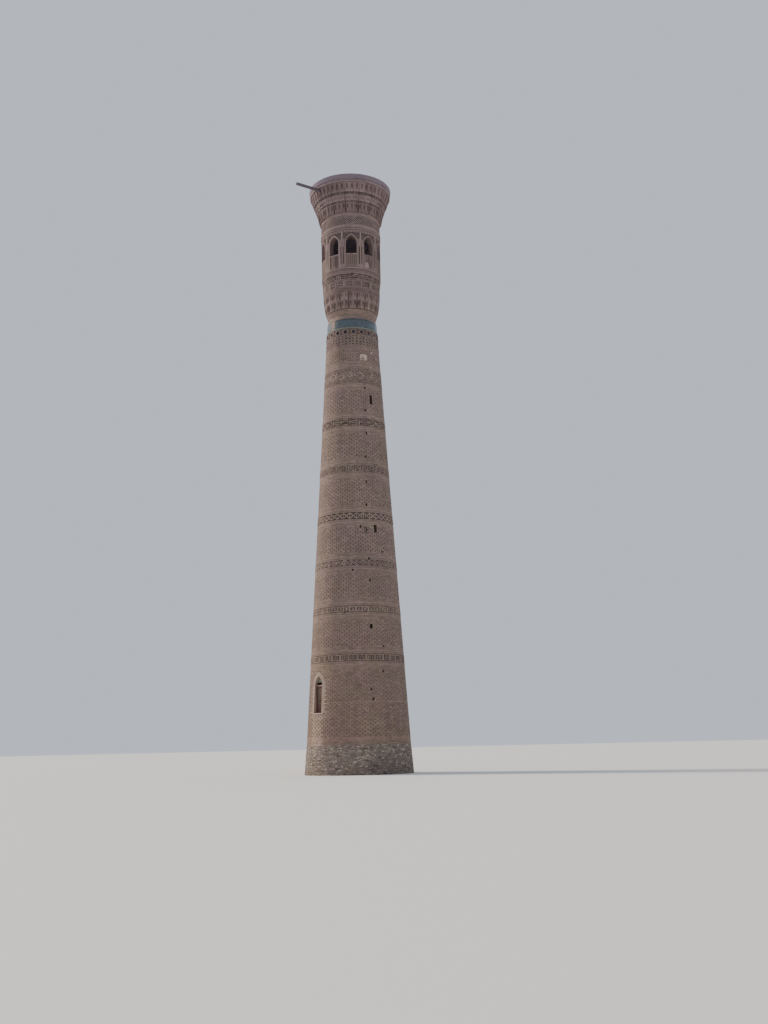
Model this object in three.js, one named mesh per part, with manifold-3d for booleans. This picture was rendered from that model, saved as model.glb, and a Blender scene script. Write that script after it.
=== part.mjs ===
// Tapering round brick minaret of the Bukhara oasis kind, at its real size in millimetres, +Z up.
// The origin is the centre of the foot's flat underside, and the doorway faces -Y.
// An azimuth is counted from the doorway: azimuth a points along (sin a, -cos a).
import * as THREE from 'three';
import { mergeVertices } from 'three/addons/utils/BufferGeometryUtils.js';
import Module from 'manifold-3d';

const wasm = await Module();
wasm.setup();

// Driving dimensions of the round tower
const SIDES = 40;
const GAP = 0.3;
const FOOT_RADIUS = 3340;
const SHAFT_LINE_AT_GROUND = 3300;
const SHAFT_TAPER = 0.0574;
const WALL_AT_SILL = 1150;
const WALL_AT_NECK = 500;
const NECK_RADIUS = 1535;
const GALLERY_BORE = 1130;
const LANTERN_BORE = 1545;
const CEILING_LEDGE = 1400;

// Heights above the ground
const Z = {
  ground: 0,
  footTop: 1740,
  sill: 3670,
  transom: 5280,
  latticeFoot: 27040,
  roundelFoot: 27840,
  glazeFoot: 28380,
  glazeTop: 29000,
  neck: 29300,
  corbelFoot: 29700,
  corbelMiddle: 30260,
  galleryFoot: 30760,
  galleryWaist: 31450,
  galleryTop: 32100,
  mouldingTop: 32440,
  parapetTop: 33430,
  arcadeTop: 35060,
  corniceTop: 35410,
  crownFoot: 36350,
  crownLower: 36930,
  crownMiddle: 37360,
  crownTop: 38220,
  rimTop: 38700,
};

// The seven carved bands of the shaft, each from its foot to its top
const CARVED_BANDS = [
  [6630, 7150],
  [9600, 10070],
  [12470, 12920],
  [15420, 15930],
  [18510, 19000],
  [21550, 22140],
  [24460, 25520],
];

// Outer radii above the neck
const CORBEL_FOOT_RADIUS = 1690;
const CORBEL_MIDDLE_RADIUS = 1815;
const GALLERY_RADIUS = 1870;
const GALLERY_TOP_RADIUS = 1930;
const MOULDING_RADIUS = 1945;
const ARCADE_TOP_RADIUS = 1960;
const CORNICE_RADIUS = 1985;
const UPPER_DRUM_RADIUS = 1965;
const CROWN_RADII = [2080, 2215, 2365, 2660];
const RIM_RADII = [2690, 2753];

// Stalactite rows: cells round the tower and how deep the grooves between them are
const CORBEL_CELLS = 30;
const CROWN_CELLS = 40;
const CORBEL_GROOVE = 60;
const CROWN_GROOVE = 80;

// The doorway
const DOOR_HALF_WIDTH = 390;
const DOOR_APEX = 5880;
const PASSAGE_HALF_WIDTH = 450;
const PASSAGE_APEX = 5940;
const SURROUND_HALF_WIDTH = 660;
const SURROUND_APEX = 6130;
const SURROUND_PROUD = 15;
const SURROUND_BACK = -2840;
const FRAME_DEPTH = 100;
const TRANSOM_HEIGHT = 80;
const TRANSOM_HALF_LENGTH = 440;
const TYMPANUM_FOOT = 5500;
const TYMPANUM_THICKNESS = 40;
const LEAF_THICKNESS = 40;
const LEAF_CLEARANCE = 6;
const LEAF_MEETING_GAP = 3;
const PIVOT_SETBACK = 30;
const PIVOT_PIN_RADIUS = 15;
const SIDE_WALL_AZIMUTH = 120;

// Slit windows: each cuts straight through, so the far side has one at the same height.
// The azimuth is where it shows on the outside, and the aim is the direction in which it runs.
const SLITS = [
  { azimuth: 71, aim: 71, foot: 8630, top: 8910, width: 150 },
  { azimuth: 83.5, aim: 90, foot: 14640, top: 15120, width: 200 },
  { azimuth: 88.2, aim: 90, foot: 23110, top: 23710, width: 200 },
];

// The lantern: ten arches and a way up through its floor
const BAYS = 10;
const BAY_ANGLE = 360 / BAYS;
const ARCH_HALF_WIDTH = 360;
const ARCH_SPRING = 34200;
const ARCH_APEX = 34730;
const HATCH_HALF_WIDTH = 350;
const HATCH_NEAR = -250;
const HATCH_FAR = -1050;
const DOME_RISE = 500;
const DOME_THICKNESS = 220;
const ROOF_RADIUS = 2350;
const ROOF_EDGE = 60;
const ROOF_RISE = 340;

// The timber left in the crown, which droops towards its outer end
const BEAM_AZIMUTH = 2;
const BEAM_SIDE = 145;
const BEAM_INNER = 2200;
const BEAM_OUTER = 4530;
const BEAM_INNER_HEIGHT = 38125;
const BEAM_OUTER_HEIGHT = 37960;

const group = new THREE.Group();

function masonry(name, color) {
  return new THREE.MeshStandardMaterial({ name, color, roughness: 0.92, metalness: 0 });
}

function timber(name, color) {
  return new THREE.MeshStandardMaterial({ name, color, roughness: 0.7, metalness: 0 });
}

function addMesh(name, geometry, material) {
  const mesh = new THREE.Mesh(geometry, material);
  mesh.name = name;
  group.add(mesh);
  return mesh;
}

// Closed geometry to exact solid and back
function solidOf(geometry) {
  geometry.deleteAttribute('normal');
  geometry.deleteAttribute('uv');
  const merged = mergeVertices(geometry);
  return new wasm.Manifold(new wasm.Mesh({
    numProp: 3,
    vertProperties: new Float32Array(merged.attributes.position.array),
    triVerts: new Uint32Array(merged.index.array),
  }));
}

function geometryOf(solid) {
  const mesh = solid.getMesh();
  const geometry = new THREE.BufferGeometry();
  geometry.setAttribute('position', new THREE.BufferAttribute(mesh.vertProperties, 3));
  geometry.setIndex(new THREE.BufferAttribute(mesh.triVerts, 1));
  geometry.computeVertexNormals();
  return geometry;
}

// A profile of [radius, height] points, listed anticlockwise, turned about the tower's axis
function turned(profile, sides = SIDES) {
  const points = profile.map(([radius, height]) => new THREE.Vector2(radius, height));
  points.push(points[0].clone());
  return new THREE.LatheGeometry(points, sides).rotateX(Math.PI / 2);
}

function ringProfile(low, high, outerLow, outerHigh, innerLow, innerHigh) {
  return [[innerLow, low], [outerLow, low], [outerHigh, high], [innerHigh, high]];
}

function discProfile(low, high, outerLow, outerHigh) {
  return [[0, low], [outerLow, low], [outerHigh, high], [0, high]];
}

// The shaft's outer line and the thickness of its wall, from the sill to the neck
function shaftRadius(height) {
  return SHAFT_LINE_AT_GROUND - SHAFT_TAPER * height;
}

function shaftBore(height) {
  const share = (height - Z.sill) / (Z.glazeTop - Z.sill);
  return shaftRadius(height) - THREE.MathUtils.lerp(WALL_AT_SILL, WALL_AT_NECK, share);
}

function shaftRing(low, high) {
  return turned(ringProfile(
    low, high,
    shaftRadius(low), shaftRadius(high),
    shaftBore(low), shaftBore(high),
  ));
}

// A ring whose outside is pleated into cells, flaring from its foot to its top
function pleatedRing(low, high, outerLow, outerHigh, bore, cells, groove) {
  const columns = cells * 2;
  const positions = [];
  for (let column = 0; column < columns; column += 1) {
    const angle = (column / columns) * Math.PI * 2;
    const inset = column % 2 === 0 ? 0 : groove;
    const corners = [[bore, low], [outerLow - inset, low], [outerHigh - inset, high], [bore, high]];
    for (const [radius, height] of corners) {
      positions.push(radius * Math.sin(angle), -radius * Math.cos(angle), height);
    }
  }
  const index = [];
  for (let column = 0; column < columns; column += 1) {
    const here = column * 4;
    const next = ((column + 1) % columns) * 4;
    for (let corner = 0; corner < 4; corner += 1) {
      const after = (corner + 1) % 4;
      index.push(here + corner, next + corner, here + after);
      index.push(next + corner, next + after, here + after);
    }
  }
  const geometry = new THREE.BufferGeometry();
  geometry.setAttribute('position', new THREE.Float32BufferAttribute(positions, 3));
  geometry.setIndex(index);
  geometry.computeVertexNormals();
  return geometry;
}

// The outline of a pointed arch on its jambs, struck from two centres on the spring line
function pointedArch(halfWidth, foot, spring, apex, steps = 5) {
  const rise = apex - spring;
  const offset = (rise * rise - halfWidth * halfWidth) / (2 * halfWidth);
  const radius = halfWidth + offset;
  const sweep = Math.atan2(rise, offset);
  const points = [new THREE.Vector2(-halfWidth, foot), new THREE.Vector2(halfWidth, foot)];
  const curve = [];
  for (let step = 0; step < steps; step += 1) {
    const angle = (sweep * step) / steps;
    curve.push(new THREE.Vector2(radius * Math.cos(angle) - offset, spring + radius * Math.sin(angle)));
  }
  points.push(...curve, new THREE.Vector2(0, apex));
  points.push(...curve.reverse().map((point) => new THREE.Vector2(-point.x, point.y)));
  return new THREE.Shape(points);
}

// An upright outline carried straight back from the front, between two places on the Y axis
function carriedBack(shape, front, back) {
  const geometry = new THREE.ExtrudeGeometry(shape, { depth: back - front, bevelEnabled: false });
  return geometry.rotateX(Math.PI / 2).translate(0, back, 0);
}

// A wedge of the tower between two azimuths in degrees, drawn in by half a joint on each side
function wedge(from, to, low, high) {
  const reach = 9000;
  const middle = THREE.MathUtils.degToRad((from + to) / 2);
  const half = THREE.MathUtils.degToRad((to - from) / 2);
  const outline = [new THREE.Vector2(0, 0)];
  for (const turn of [-half, 0, half]) {
    outline.push(new THREE.Vector2(reach * Math.sin(middle + turn), -reach * Math.cos(middle + turn)));
  }
  const inset = GAP / 2 / Math.sin(half);
  return new THREE.ExtrudeGeometry(new THREE.Shape(outline), { depth: high - low, bevelEnabled: false })
    .translate(inset * Math.sin(middle), -inset * Math.cos(middle), low);
}

const footStone = masonry('foot_masonry', 0x8d7d70);
const shaftBrick = masonry('shaft_brick', 0x8a7265);
const carvedBrick = masonry('carved_brick', 0x7a6358);
const paleBrick = masonry('pale_brick', 0xa79483);
const glaze = new THREE.MeshStandardMaterial({ name: 'glazed_tile', color: 0x3f6f7d, roughness: 0.3 });
const plaster = masonry('grey_plaster', 0x85857d);
const frameWood = timber('frame_wood', 0x7a5a45);
const leafWood = timber('leaf_wood', 0x5d4634);
const beamWood = timber('beam_wood', 0x40332f);

// Foot and base, solid up to the sill of the doorway
addMesh('foot_course', turned(discProfile(
  Z.ground, Z.footTop, FOOT_RADIUS, shaftRadius(Z.footTop) + GAP,
)), footStone);
addMesh('base_drum', turned(discProfile(
  Z.footTop, Z.sill, shaftRadius(Z.footTop), shaftRadius(Z.sill),
)), shaftBrick);

// Entrance storey: the wall in three segments, and the ring that arches over the doorway
const recess = solidOf(carriedBack(
  pointedArch(SURROUND_HALF_WIDTH, Z.sill - 100, Z.transom, SURROUND_APEX),
  -FOOT_RADIUS, SURROUND_BACK,
));
const passage = solidOf(carriedBack(
  pointedArch(PASSAGE_HALF_WIDTH, Z.sill - 100, Z.transom, PASSAGE_APEX),
  SURROUND_BACK - 10, 0,
));
const doorway = recess.add(passage);
const storeyWall = solidOf(shaftRing(Z.sill, Z.transom)).subtract(doorway);
const wallSegments = [
  ['entrance_wall_right', 0, SIDE_WALL_AZIMUTH],
  ['entrance_wall_back', SIDE_WALL_AZIMUTH, 360 - SIDE_WALL_AZIMUTH],
  ['entrance_wall_left', 360 - SIDE_WALL_AZIMUTH, 360],
];
for (const [name, from, to] of wallSegments) {
  const part = storeyWall.intersect(solidOf(wedge(from, to, Z.sill - 10, Z.transom + 10)));
  addMesh(name, geometryOf(part), shaftBrick);
}
const archRing = solidOf(shaftRing(Z.transom, CARVED_BANDS[0][0])).subtract(doorway);
addMesh('entrance_arch_ring', geometryOf(archRing), shaftBrick);

// Pale brick surround of the doorway, standing a little proud of the shaft
const surroundBlock = solidOf(carriedBack(
  pointedArch(SURROUND_HALF_WIDTH - GAP, Z.sill, Z.transom, SURROUND_APEX - GAP),
  -FOOT_RADIUS, SURROUND_BACK,
));
const doorOpening = solidOf(carriedBack(
  pointedArch(DOOR_HALF_WIDTH, Z.sill - 10, Z.transom, DOOR_APEX),
  -FOOT_RADIUS - 10, SURROUND_BACK + 10,
));
const surroundFace = solidOf(turned(discProfile(
  Z.sill - 10, SURROUND_APEX + 10,
  shaftRadius(Z.sill - 10) + SURROUND_PROUD, shaftRadius(SURROUND_APEX + 10) + SURROUND_PROUD,
)));
addMesh('door_surround', geometryOf(
  surroundBlock.intersect(surroundFace).subtract(doorOpening),
), paleBrick);

// Timber frame behind the surround
const frameFront = SURROUND_BACK + GAP;
const postWidth = PASSAGE_HALF_WIDTH - GAP - DOOR_HALF_WIDTH;
for (const [name, side] of [['frame_post_left', -1], ['frame_post_right', 1]]) {
  const post = addMesh(
    name, new THREE.BoxGeometry(postWidth, FRAME_DEPTH, Z.transom - Z.sill), frameWood,
  );
  post.position.set(
    side * (DOOR_HALF_WIDTH + postWidth / 2), frameFront + FRAME_DEPTH / 2, (Z.sill + Z.transom) / 2,
  );
}
const transom = addMesh('frame_transom', new THREE.BoxGeometry(
  TRANSOM_HALF_LENGTH * 2, FRAME_DEPTH, TRANSOM_HEIGHT,
), frameWood);
transom.position.set(0, frameFront + FRAME_DEPTH / 2, Z.transom + TRANSOM_HEIGHT / 2);

// Panel that closes the head of the arch, above a narrow gap over the transom
const headFill = solidOf(carriedBack(
  pointedArch(PASSAGE_HALF_WIDTH - GAP, Z.sill, Z.transom, PASSAGE_APEX - GAP),
  frameFront, frameFront + TYMPANUM_THICKNESS,
));
const headZone = solidOf(new THREE.BoxGeometry(
  PASSAGE_HALF_WIDTH * 2, FOOT_RADIUS * 2, PASSAGE_APEX - TYMPANUM_FOOT,
).translate(0, 0, (PASSAGE_APEX + TYMPANUM_FOOT) / 2));
addMesh('door_tympanum', geometryOf(headFill.intersect(headZone)), plaster);

// Two door leaves, each turning on the pins of its own round heel
const leafHalf = LEAF_THICKNESS / 2;
const pivotX = DOOR_HALF_WIDTH - LEAF_CLEARANCE - leafHalf;
const leafReach = pivotX - LEAF_MEETING_GAP;
const leafHeight = Z.transom - Z.sill - LEAF_CLEARANCE * 2;
const pinHeight = Z.transom - Z.sill - GAP * 2;
for (const [name, side] of [['door_leaf_left', -1], ['door_leaf_right', 1]]) {
  const plan = new THREE.Shape();
  plan.moveTo(leafReach, leafHalf);
  plan.absarc(0, 0, leafHalf, Math.PI / 2, Math.PI * 1.5, false);
  plan.lineTo(leafReach, -leafHalf);
  plan.closePath();
  const board = new THREE.ExtrudeGeometry(plan, {
    depth: leafHeight, bevelEnabled: false, curveSegments: 8,
  }).translate(0, 0, LEAF_CLEARANCE);
  if (side > 0) {
    board.rotateZ(Math.PI);
  }
  const pins = new THREE.CylinderGeometry(PIVOT_PIN_RADIUS, PIVOT_PIN_RADIUS, pinHeight, 12)
    .rotateX(Math.PI / 2).translate(0, 0, GAP + pinHeight / 2);
  const leaf = addMesh(name, geometryOf(solidOf(board).add(solidOf(pins))), leafWood);
  leaf.position.set(side * pivotX, frameFront + PIVOT_SETBACK, Z.sill);
}

// Shaft: carved bands with plain drums between them, cut through by the slit windows
const drumEdges = [];
for (let band = 0; band < CARVED_BANDS.length; band += 1) {
  const [low, high] = CARVED_BANDS[band];
  addMesh(`carved_band_${band + 1}`, shaftRing(low, high), carvedBrick);
  const next = band + 1 < CARVED_BANDS.length ? CARVED_BANDS[band + 1][0] : Z.latticeFoot;
  drumEdges.push([high, next]);
}
drumEdges.forEach(([low, high], drum) => {
  let wall = solidOf(shaftRing(low, high));
  for (const slit of SLITS.filter(({ foot, top }) => foot > low && top < high)) {
    const middle = (slit.foot + slit.top) / 2;
    const askew = THREE.MathUtils.degToRad(slit.aim - slit.azimuth);
    const cutter = new THREE.BoxGeometry(slit.width, FOOT_RADIUS * 3, slit.top - slit.foot)
      .translate(-shaftRadius(middle) * Math.sin(askew), 0, middle)
      .rotateZ(THREE.MathUtils.degToRad(slit.aim));
    wall = wall.subtract(solidOf(cutter));
  }
  addMesh(`shaft_drum_${drum + 1}`, geometryOf(wall), shaftBrick);
});
addMesh('lattice_band', shaftRing(Z.latticeFoot, Z.roundelFoot), carvedBrick);
addMesh('roundel_band', shaftRing(Z.roundelFoot, Z.glazeFoot), paleBrick);
addMesh('glazed_band', shaftRing(Z.glazeFoot, Z.glazeTop), glaze);

// Neck and the two stalactite rows that carry the gallery
addMesh('neck_ring', turned([
  [shaftBore(Z.glazeTop), Z.glazeTop],
  [shaftRadius(Z.glazeTop), Z.glazeTop],
  [NECK_RADIUS, Z.neck],
  [CORBEL_FOOT_RADIUS, Z.corbelFoot],
  [GALLERY_BORE, Z.corbelFoot],
]), shaftBrick);
addMesh('corbel_row_lower', pleatedRing(
  Z.corbelFoot, Z.corbelMiddle, CORBEL_FOOT_RADIUS, CORBEL_MIDDLE_RADIUS,
  GALLERY_BORE, CORBEL_CELLS, CORBEL_GROOVE,
), carvedBrick);
addMesh('corbel_row_upper', pleatedRing(
  Z.corbelMiddle, Z.galleryFoot, CORBEL_MIDDLE_RADIUS, GALLERY_RADIUS,
  GALLERY_BORE, CORBEL_CELLS, CORBEL_GROOVE,
), carvedBrick);
addMesh('gallery_drum', turned([
  [GALLERY_BORE, Z.galleryFoot],
  [GALLERY_RADIUS, Z.galleryFoot],
  [GALLERY_RADIUS, Z.galleryWaist],
  [GALLERY_TOP_RADIUS, Z.galleryTop],
  [GALLERY_BORE, Z.galleryTop],
]), carvedBrick);

// Lantern floor with its way up, inside the moulding that rings it
const floorDisc = solidOf(turned(discProfile(
  Z.galleryTop, Z.mouldingTop, LANTERN_BORE - GAP, LANTERN_BORE - GAP,
)));
const hatch = solidOf(new THREE.BoxGeometry(
  HATCH_HALF_WIDTH * 2, HATCH_NEAR - HATCH_FAR, FOOT_RADIUS,
).translate(0, (HATCH_NEAR + HATCH_FAR) / 2, Z.galleryTop));
addMesh('lantern_floor', geometryOf(floorDisc.subtract(hatch)), shaftBrick);
addMesh('gallery_moulding', turned(ringProfile(
  Z.galleryTop, Z.mouldingTop, MOULDING_RADIUS, MOULDING_RADIUS, LANTERN_BORE, LANTERN_BORE,
)), paleBrick);
addMesh('lantern_parapet', turned(ringProfile(
  Z.mouldingTop, Z.parapetTop, MOULDING_RADIUS, MOULDING_RADIUS, LANTERN_BORE, LANTERN_BORE,
)), shaftBrick);

// Ten arched bays, all alike, turned round the axis
const arcade = solidOf(turned(ringProfile(
  Z.parapetTop, Z.arcadeTop, MOULDING_RADIUS, ARCADE_TOP_RADIUS, LANTERN_BORE, LANTERN_BORE,
)));
const archVoid = solidOf(carriedBack(
  pointedArch(ARCH_HALF_WIDTH, Z.parapetTop - 100, ARCH_SPRING, ARCH_APEX),
  -FOOT_RADIUS, -LANTERN_BORE / 2,
));
const oneBay = arcade
  .intersect(solidOf(wedge(-BAY_ANGLE / 2, BAY_ANGLE / 2, Z.parapetTop - 10, Z.arcadeTop + 10)))
  .subtract(archVoid);
for (let bay = 0; bay < BAYS; bay += 1) {
  const mesh = addMesh(`lantern_bay_${bay + 1}`, geometryOf(oneBay), shaftBrick);
  mesh.rotation.z = THREE.MathUtils.degToRad((bay + 0.5) * BAY_ANGLE);
}

// Cornice, ceiling dome and upper drum of the lantern
addMesh('lantern_cornice', turned(ringProfile(
  Z.arcadeTop, Z.corniceTop, CORNICE_RADIUS, CORNICE_RADIUS, CEILING_LEDGE, CEILING_LEDGE,
)), paleBrick);
addMesh('upper_drum', turned(ringProfile(
  Z.corniceTop, Z.crownFoot, UPPER_DRUM_RADIUS, UPPER_DRUM_RADIUS, LANTERN_BORE, LANTERN_BORE,
)), carvedBrick);
const domeRadius = (CEILING_LEDGE ** 2 + DOME_RISE ** 2) / (2 * DOME_RISE);
const domeSweep = Math.asin(CEILING_LEDGE / domeRadius);
const domeProfile = [
  [CEILING_LEDGE, Z.corniceTop],
  [LANTERN_BORE - GAP, Z.corniceTop],
  [LANTERN_BORE - GAP, Z.corniceTop + DOME_THICKNESS],
  [0, Z.corniceTop + DOME_RISE + DOME_THICKNESS],
];
const DOME_STEPS = 5;
for (let step = 0; step < DOME_STEPS; step += 1) {
  const angle = (domeSweep * step) / DOME_STEPS;
  const height = Z.corniceTop + DOME_RISE - domeRadius * (1 - Math.cos(angle));
  domeProfile.push([domeRadius * Math.sin(angle), height]);
}
addMesh('lantern_dome', turned(domeProfile), shaftBrick);

// Crown: three flaring stalactite rows, the roof inside its rim, and the timber left in it
const crownRows = [
  ['crown_row_lower', Z.crownFoot, Z.crownLower],
  ['crown_row_middle', Z.crownLower, Z.crownMiddle],
  ['crown_row_upper', Z.crownMiddle, Z.crownTop],
];
const beamDroop = Math.atan2(BEAM_INNER_HEIGHT - BEAM_OUTER_HEIGHT, BEAM_OUTER - BEAM_INNER);
const beamLength = (BEAM_OUTER - BEAM_INNER) / Math.cos(beamDroop);
const beamTurn = THREE.MathUtils.degToRad(BEAM_AZIMUTH);
const beamMiddle = (BEAM_INNER_HEIGHT + BEAM_OUTER_HEIGHT) / 2;
function beamBlock(spare) {
  return new THREE.BoxGeometry(BEAM_SIDE + spare * 2, beamLength + spare * 2, BEAM_SIDE + spare * 2)
    .rotateX(beamDroop)
    .translate(0, -(BEAM_INNER + BEAM_OUTER) / 2, beamMiddle)
    .rotateZ(beamTurn);
}
crownRows.forEach(([name, low, high], row) => {
  const rowRing = pleatedRing(
    low, high, CROWN_RADII[row], CROWN_RADII[row + 1], LANTERN_BORE, CROWN_CELLS, CROWN_GROOVE,
  );
  const holdsBeam = low < beamMiddle && high > beamMiddle;
  const geometry = holdsBeam ? geometryOf(solidOf(rowRing).subtract(solidOf(beamBlock(GAP)))) : rowRing;
  addMesh(name, geometry, carvedBrick);
});
addMesh('crown_rim', turned(ringProfile(
  Z.crownTop, Z.rimTop, RIM_RADII[0], RIM_RADII[1], ROOF_RADIUS + GAP, ROOF_RADIUS + GAP,
)), shaftBrick);
addMesh('roof_cap', turned([
  [0, Z.crownTop],
  [ROOF_RADIUS, Z.crownTop],
  [ROOF_RADIUS, Z.crownTop + ROOF_EDGE],
  [0, Z.crownTop + ROOF_RISE],
]), footStone);
addMesh('roof_beam', beamBlock(0), beamWood);

export default group;
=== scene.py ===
# %% [markdown]
# A tapering brick minaret, dressed in Blender.
# The frame that is loaded first holds the tower's solids in metres, with +Z up, the doorway facing -Y
# and the origin at the middle of its foot. Everything below is laid on those solids: brickwork, carved
# bands, glazed tiles, arch mouldings and stalactite cells. The tower is round, so nearly every place is
# given by an azimuth, counted from the doorway, and a height.

# %% Load the frame
import math

import bpy
import numpy as np
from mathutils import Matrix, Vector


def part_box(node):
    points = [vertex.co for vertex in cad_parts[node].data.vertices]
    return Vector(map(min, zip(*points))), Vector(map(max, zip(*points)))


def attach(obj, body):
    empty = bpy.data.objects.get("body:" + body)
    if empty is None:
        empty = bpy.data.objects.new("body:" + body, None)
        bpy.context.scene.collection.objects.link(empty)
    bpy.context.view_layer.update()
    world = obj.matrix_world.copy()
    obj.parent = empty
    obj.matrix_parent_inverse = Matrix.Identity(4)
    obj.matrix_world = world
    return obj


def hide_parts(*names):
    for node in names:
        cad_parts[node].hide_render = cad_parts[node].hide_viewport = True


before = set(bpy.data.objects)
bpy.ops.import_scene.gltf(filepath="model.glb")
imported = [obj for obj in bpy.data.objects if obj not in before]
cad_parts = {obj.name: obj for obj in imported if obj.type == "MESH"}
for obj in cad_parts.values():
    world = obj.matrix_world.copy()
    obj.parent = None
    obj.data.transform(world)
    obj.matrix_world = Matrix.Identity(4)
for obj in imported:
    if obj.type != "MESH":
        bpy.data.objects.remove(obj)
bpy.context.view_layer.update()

TAU = math.tau
BODY = "tower"
chance = np.random.default_rng(1196)

# %% [markdown]
# The camera stands where the photographer stood: 69 m away at eye height, 53 degrees round from the
# doorway, looking up by 12 degrees. The picture is a little turned, so the camera is rolled as well.
# These values came from fitting the tower's known height to its outline in the photograph.

# %% Camera
CAMERA_AZIMUTH = math.radians(53.0)
CAMERA_DISTANCE = 69.267
CAMERA_HEIGHT = 1.70
CAMERA_YAW = math.radians(1.5345)
CAMERA_PITCH = math.radians(11.9589)
CAMERA_ROLL = math.radians(-1.2673)
FOCAL_PIXELS = 1100.0
IMAGE_HEIGHT = 1024
SENSOR = 36.0
FAR_CLIP = 2000.0


def round_place(azimuth, radius, height):
    """x = r sin a, y = -r cos a: azimuth 0 is the doorway's side."""
    return np.stack([radius * np.sin(azimuth), -radius * np.cos(azimuth), height + 0.0 * radius], -1)


def put_in_scene(name, data):
    item = bpy.data.objects.new(name, data)
    bpy.context.scene.collection.objects.link(item)
    return item


camera_data = bpy.data.cameras.new("camera")
camera_data.sensor_width = SENSOR
camera_data.lens = FOCAL_PIXELS / IMAGE_HEIGHT * SENSOR
camera_data.clip_end = FAR_CLIP
camera = put_in_scene("camera", camera_data)
camera.location = round_place(CAMERA_AZIMUTH, CAMERA_DISTANCE, CAMERA_HEIGHT)
camera.rotation_euler = (math.pi / 2 + CAMERA_PITCH, 0.0, CAMERA_AZIMUTH - CAMERA_YAW)
turned_back = camera.rotation_euler.to_matrix().to_4x4()
roll = turned_back.Rotation(CAMERA_ROLL, 4, "Z")
camera.matrix_world = turned_back.Translation(camera.location) @ turned_back @ roll
bpy.context.scene.camera = camera
print("lens", round(camera_data.lens, 2), "mm")

# %% [markdown]
# A tall object needs light that reaches its whole height evenly. A wide sun from behind and to the left
# warms that flank, as in the photograph, and the pale surroundings fill the shaded side. The floor is a
# plain pale disc, not attached to the tower.

# %% Light and floor
SUN_AZIMUTH = math.radians(-65.0)
SUN_ELEVATION = math.radians(38.0)
SUN_STRENGTH = 4.6
SUN_SPREAD = math.radians(12.0)
SUN_COLOR = (1.0, 0.86, 0.70)
SKY_COLOR = (0.78, 0.84, 0.95, 1.0)
SKY_STRENGTH = 0.80
FLOOR_RADIUS = 600.0
FLOOR_SIDES = 96
FLOOR_COLOR = (0.62, 0.62, 0.61, 1.0)
FLOOR_ROUGHNESS = 0.9


def give(tree, socket, value):
    """An input takes either a fixed value or what another node puts out."""
    if isinstance(value, bpy.types.NodeSocket):
        tree.links.new(value, socket)
    else:
        socket.default_value = value


def feed(tree, node, **values):
    """Gives a node its inputs by their labels, with _ for a space."""
    for label, value in values.items():
        give(tree, node.inputs[label.replace("_", " ")], value)
    return node


def new_finish(name):
    """A new material, its node tree and its shader."""
    material = bpy.data.materials.new(name)
    material.use_nodes = True
    return material, material.node_tree, material.node_tree.nodes["Principled BSDF"]


sun_data = bpy.data.lights.new("soft_sun", "SUN")
sun_data.energy = SUN_STRENGTH
sun_data.angle = SUN_SPREAD
sun_data.color = SUN_COLOR
sun = put_in_scene("soft_sun", sun_data)
sun.rotation_euler = (math.pi / 2 - SUN_ELEVATION, 0.0, SUN_AZIMUTH)

world = bpy.data.worlds.new("pale_surroundings")
world.use_nodes = True
feed(world.node_tree, world.node_tree.nodes["Background"], Color=SKY_COLOR, Strength=SKY_STRENGTH)
bpy.context.scene.world = world

floor_angle = np.linspace(0.0, TAU, FLOOR_SIDES, endpoint=False)
floor_rim = round_place(floor_angle, np.full(FLOOR_SIDES, FLOOR_RADIUS), 0.0)
floor_mesh = bpy.data.meshes.new("floor")
floor_mesh.from_pydata(floor_rim.tolist(), [], [list(range(FLOOR_SIDES))])
floor = put_in_scene("floor", floor_mesh)
floor_paint, floor_tree, floor_shader = new_finish("floor")
feed(floor_tree, floor_shader, Base_Color=FLOOR_COLOR, Roughness=FLOOR_ROUGHNESS)
floor_mesh.materials.append(floor_paint)

# %% [markdown]
# Three effects are shared by most of the finishes, so each is a node group with named sockets.
# Weathering gives large soft blotches, rain streaks that run down the wall, from noise in object
# coordinates that is squeezed along Z, and a slow drift between warmer and rosier brick. Grain gives the
# fine pitting of fired clay and the bump that goes with it. Round courses are the joints of a wall that
# carries no laid bricks: the arc length at a middling radius runs round the axis, and Z runs up, so the
# joints are level and upright everywhere. The shader itself stays in each material.

# %% Shared effects
COURSE = 0.06
BRICK_LONG = 0.262


def new_group(name, inputs, outputs):
    group = bpy.data.node_groups.new(name, "ShaderNodeTree")
    for label, value in inputs:
        socket = group.interface.new_socket(label, in_out="INPUT", socket_type="NodeSocketFloat")
        socket.default_value = value
    for label in outputs:
        group.interface.new_socket(label, in_out="OUTPUT", socket_type="NodeSocketFloat")
    return group, group.nodes.new("NodeGroupInput"), group.nodes.new("NodeGroupOutput")


def add_node(tree, kind, **values):
    return feed(tree, tree.nodes.new("ShaderNode" + kind), **values)


def object_place(tree):
    """Coordinates that stay with a piece when it swings."""
    return add_node(tree, "TexCoord").outputs["Object"]


def add_noise(tree, vector, scale, detail=4.0, roughness=0.55):
    noise = add_node(tree, "TexNoise", Vector=vector, Scale=scale, Detail=detail, Roughness=roughness)
    return noise.outputs["Fac"]


def add_math(tree, operation, first, second, kind="Math"):
    node = add_node(tree, kind)
    node.operation = operation
    give(tree, node.inputs[0], first)
    give(tree, node.inputs[1], second)
    return node.outputs[0]


def add_range(tree, value, low, high, to_low=0.0, to_high=1.0):
    node = add_node(tree, "MapRange", Value=value, From_Min=low, From_Max=high, To_Min=to_low, To_Max=to_high)
    return node.outputs["Result"]


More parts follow.
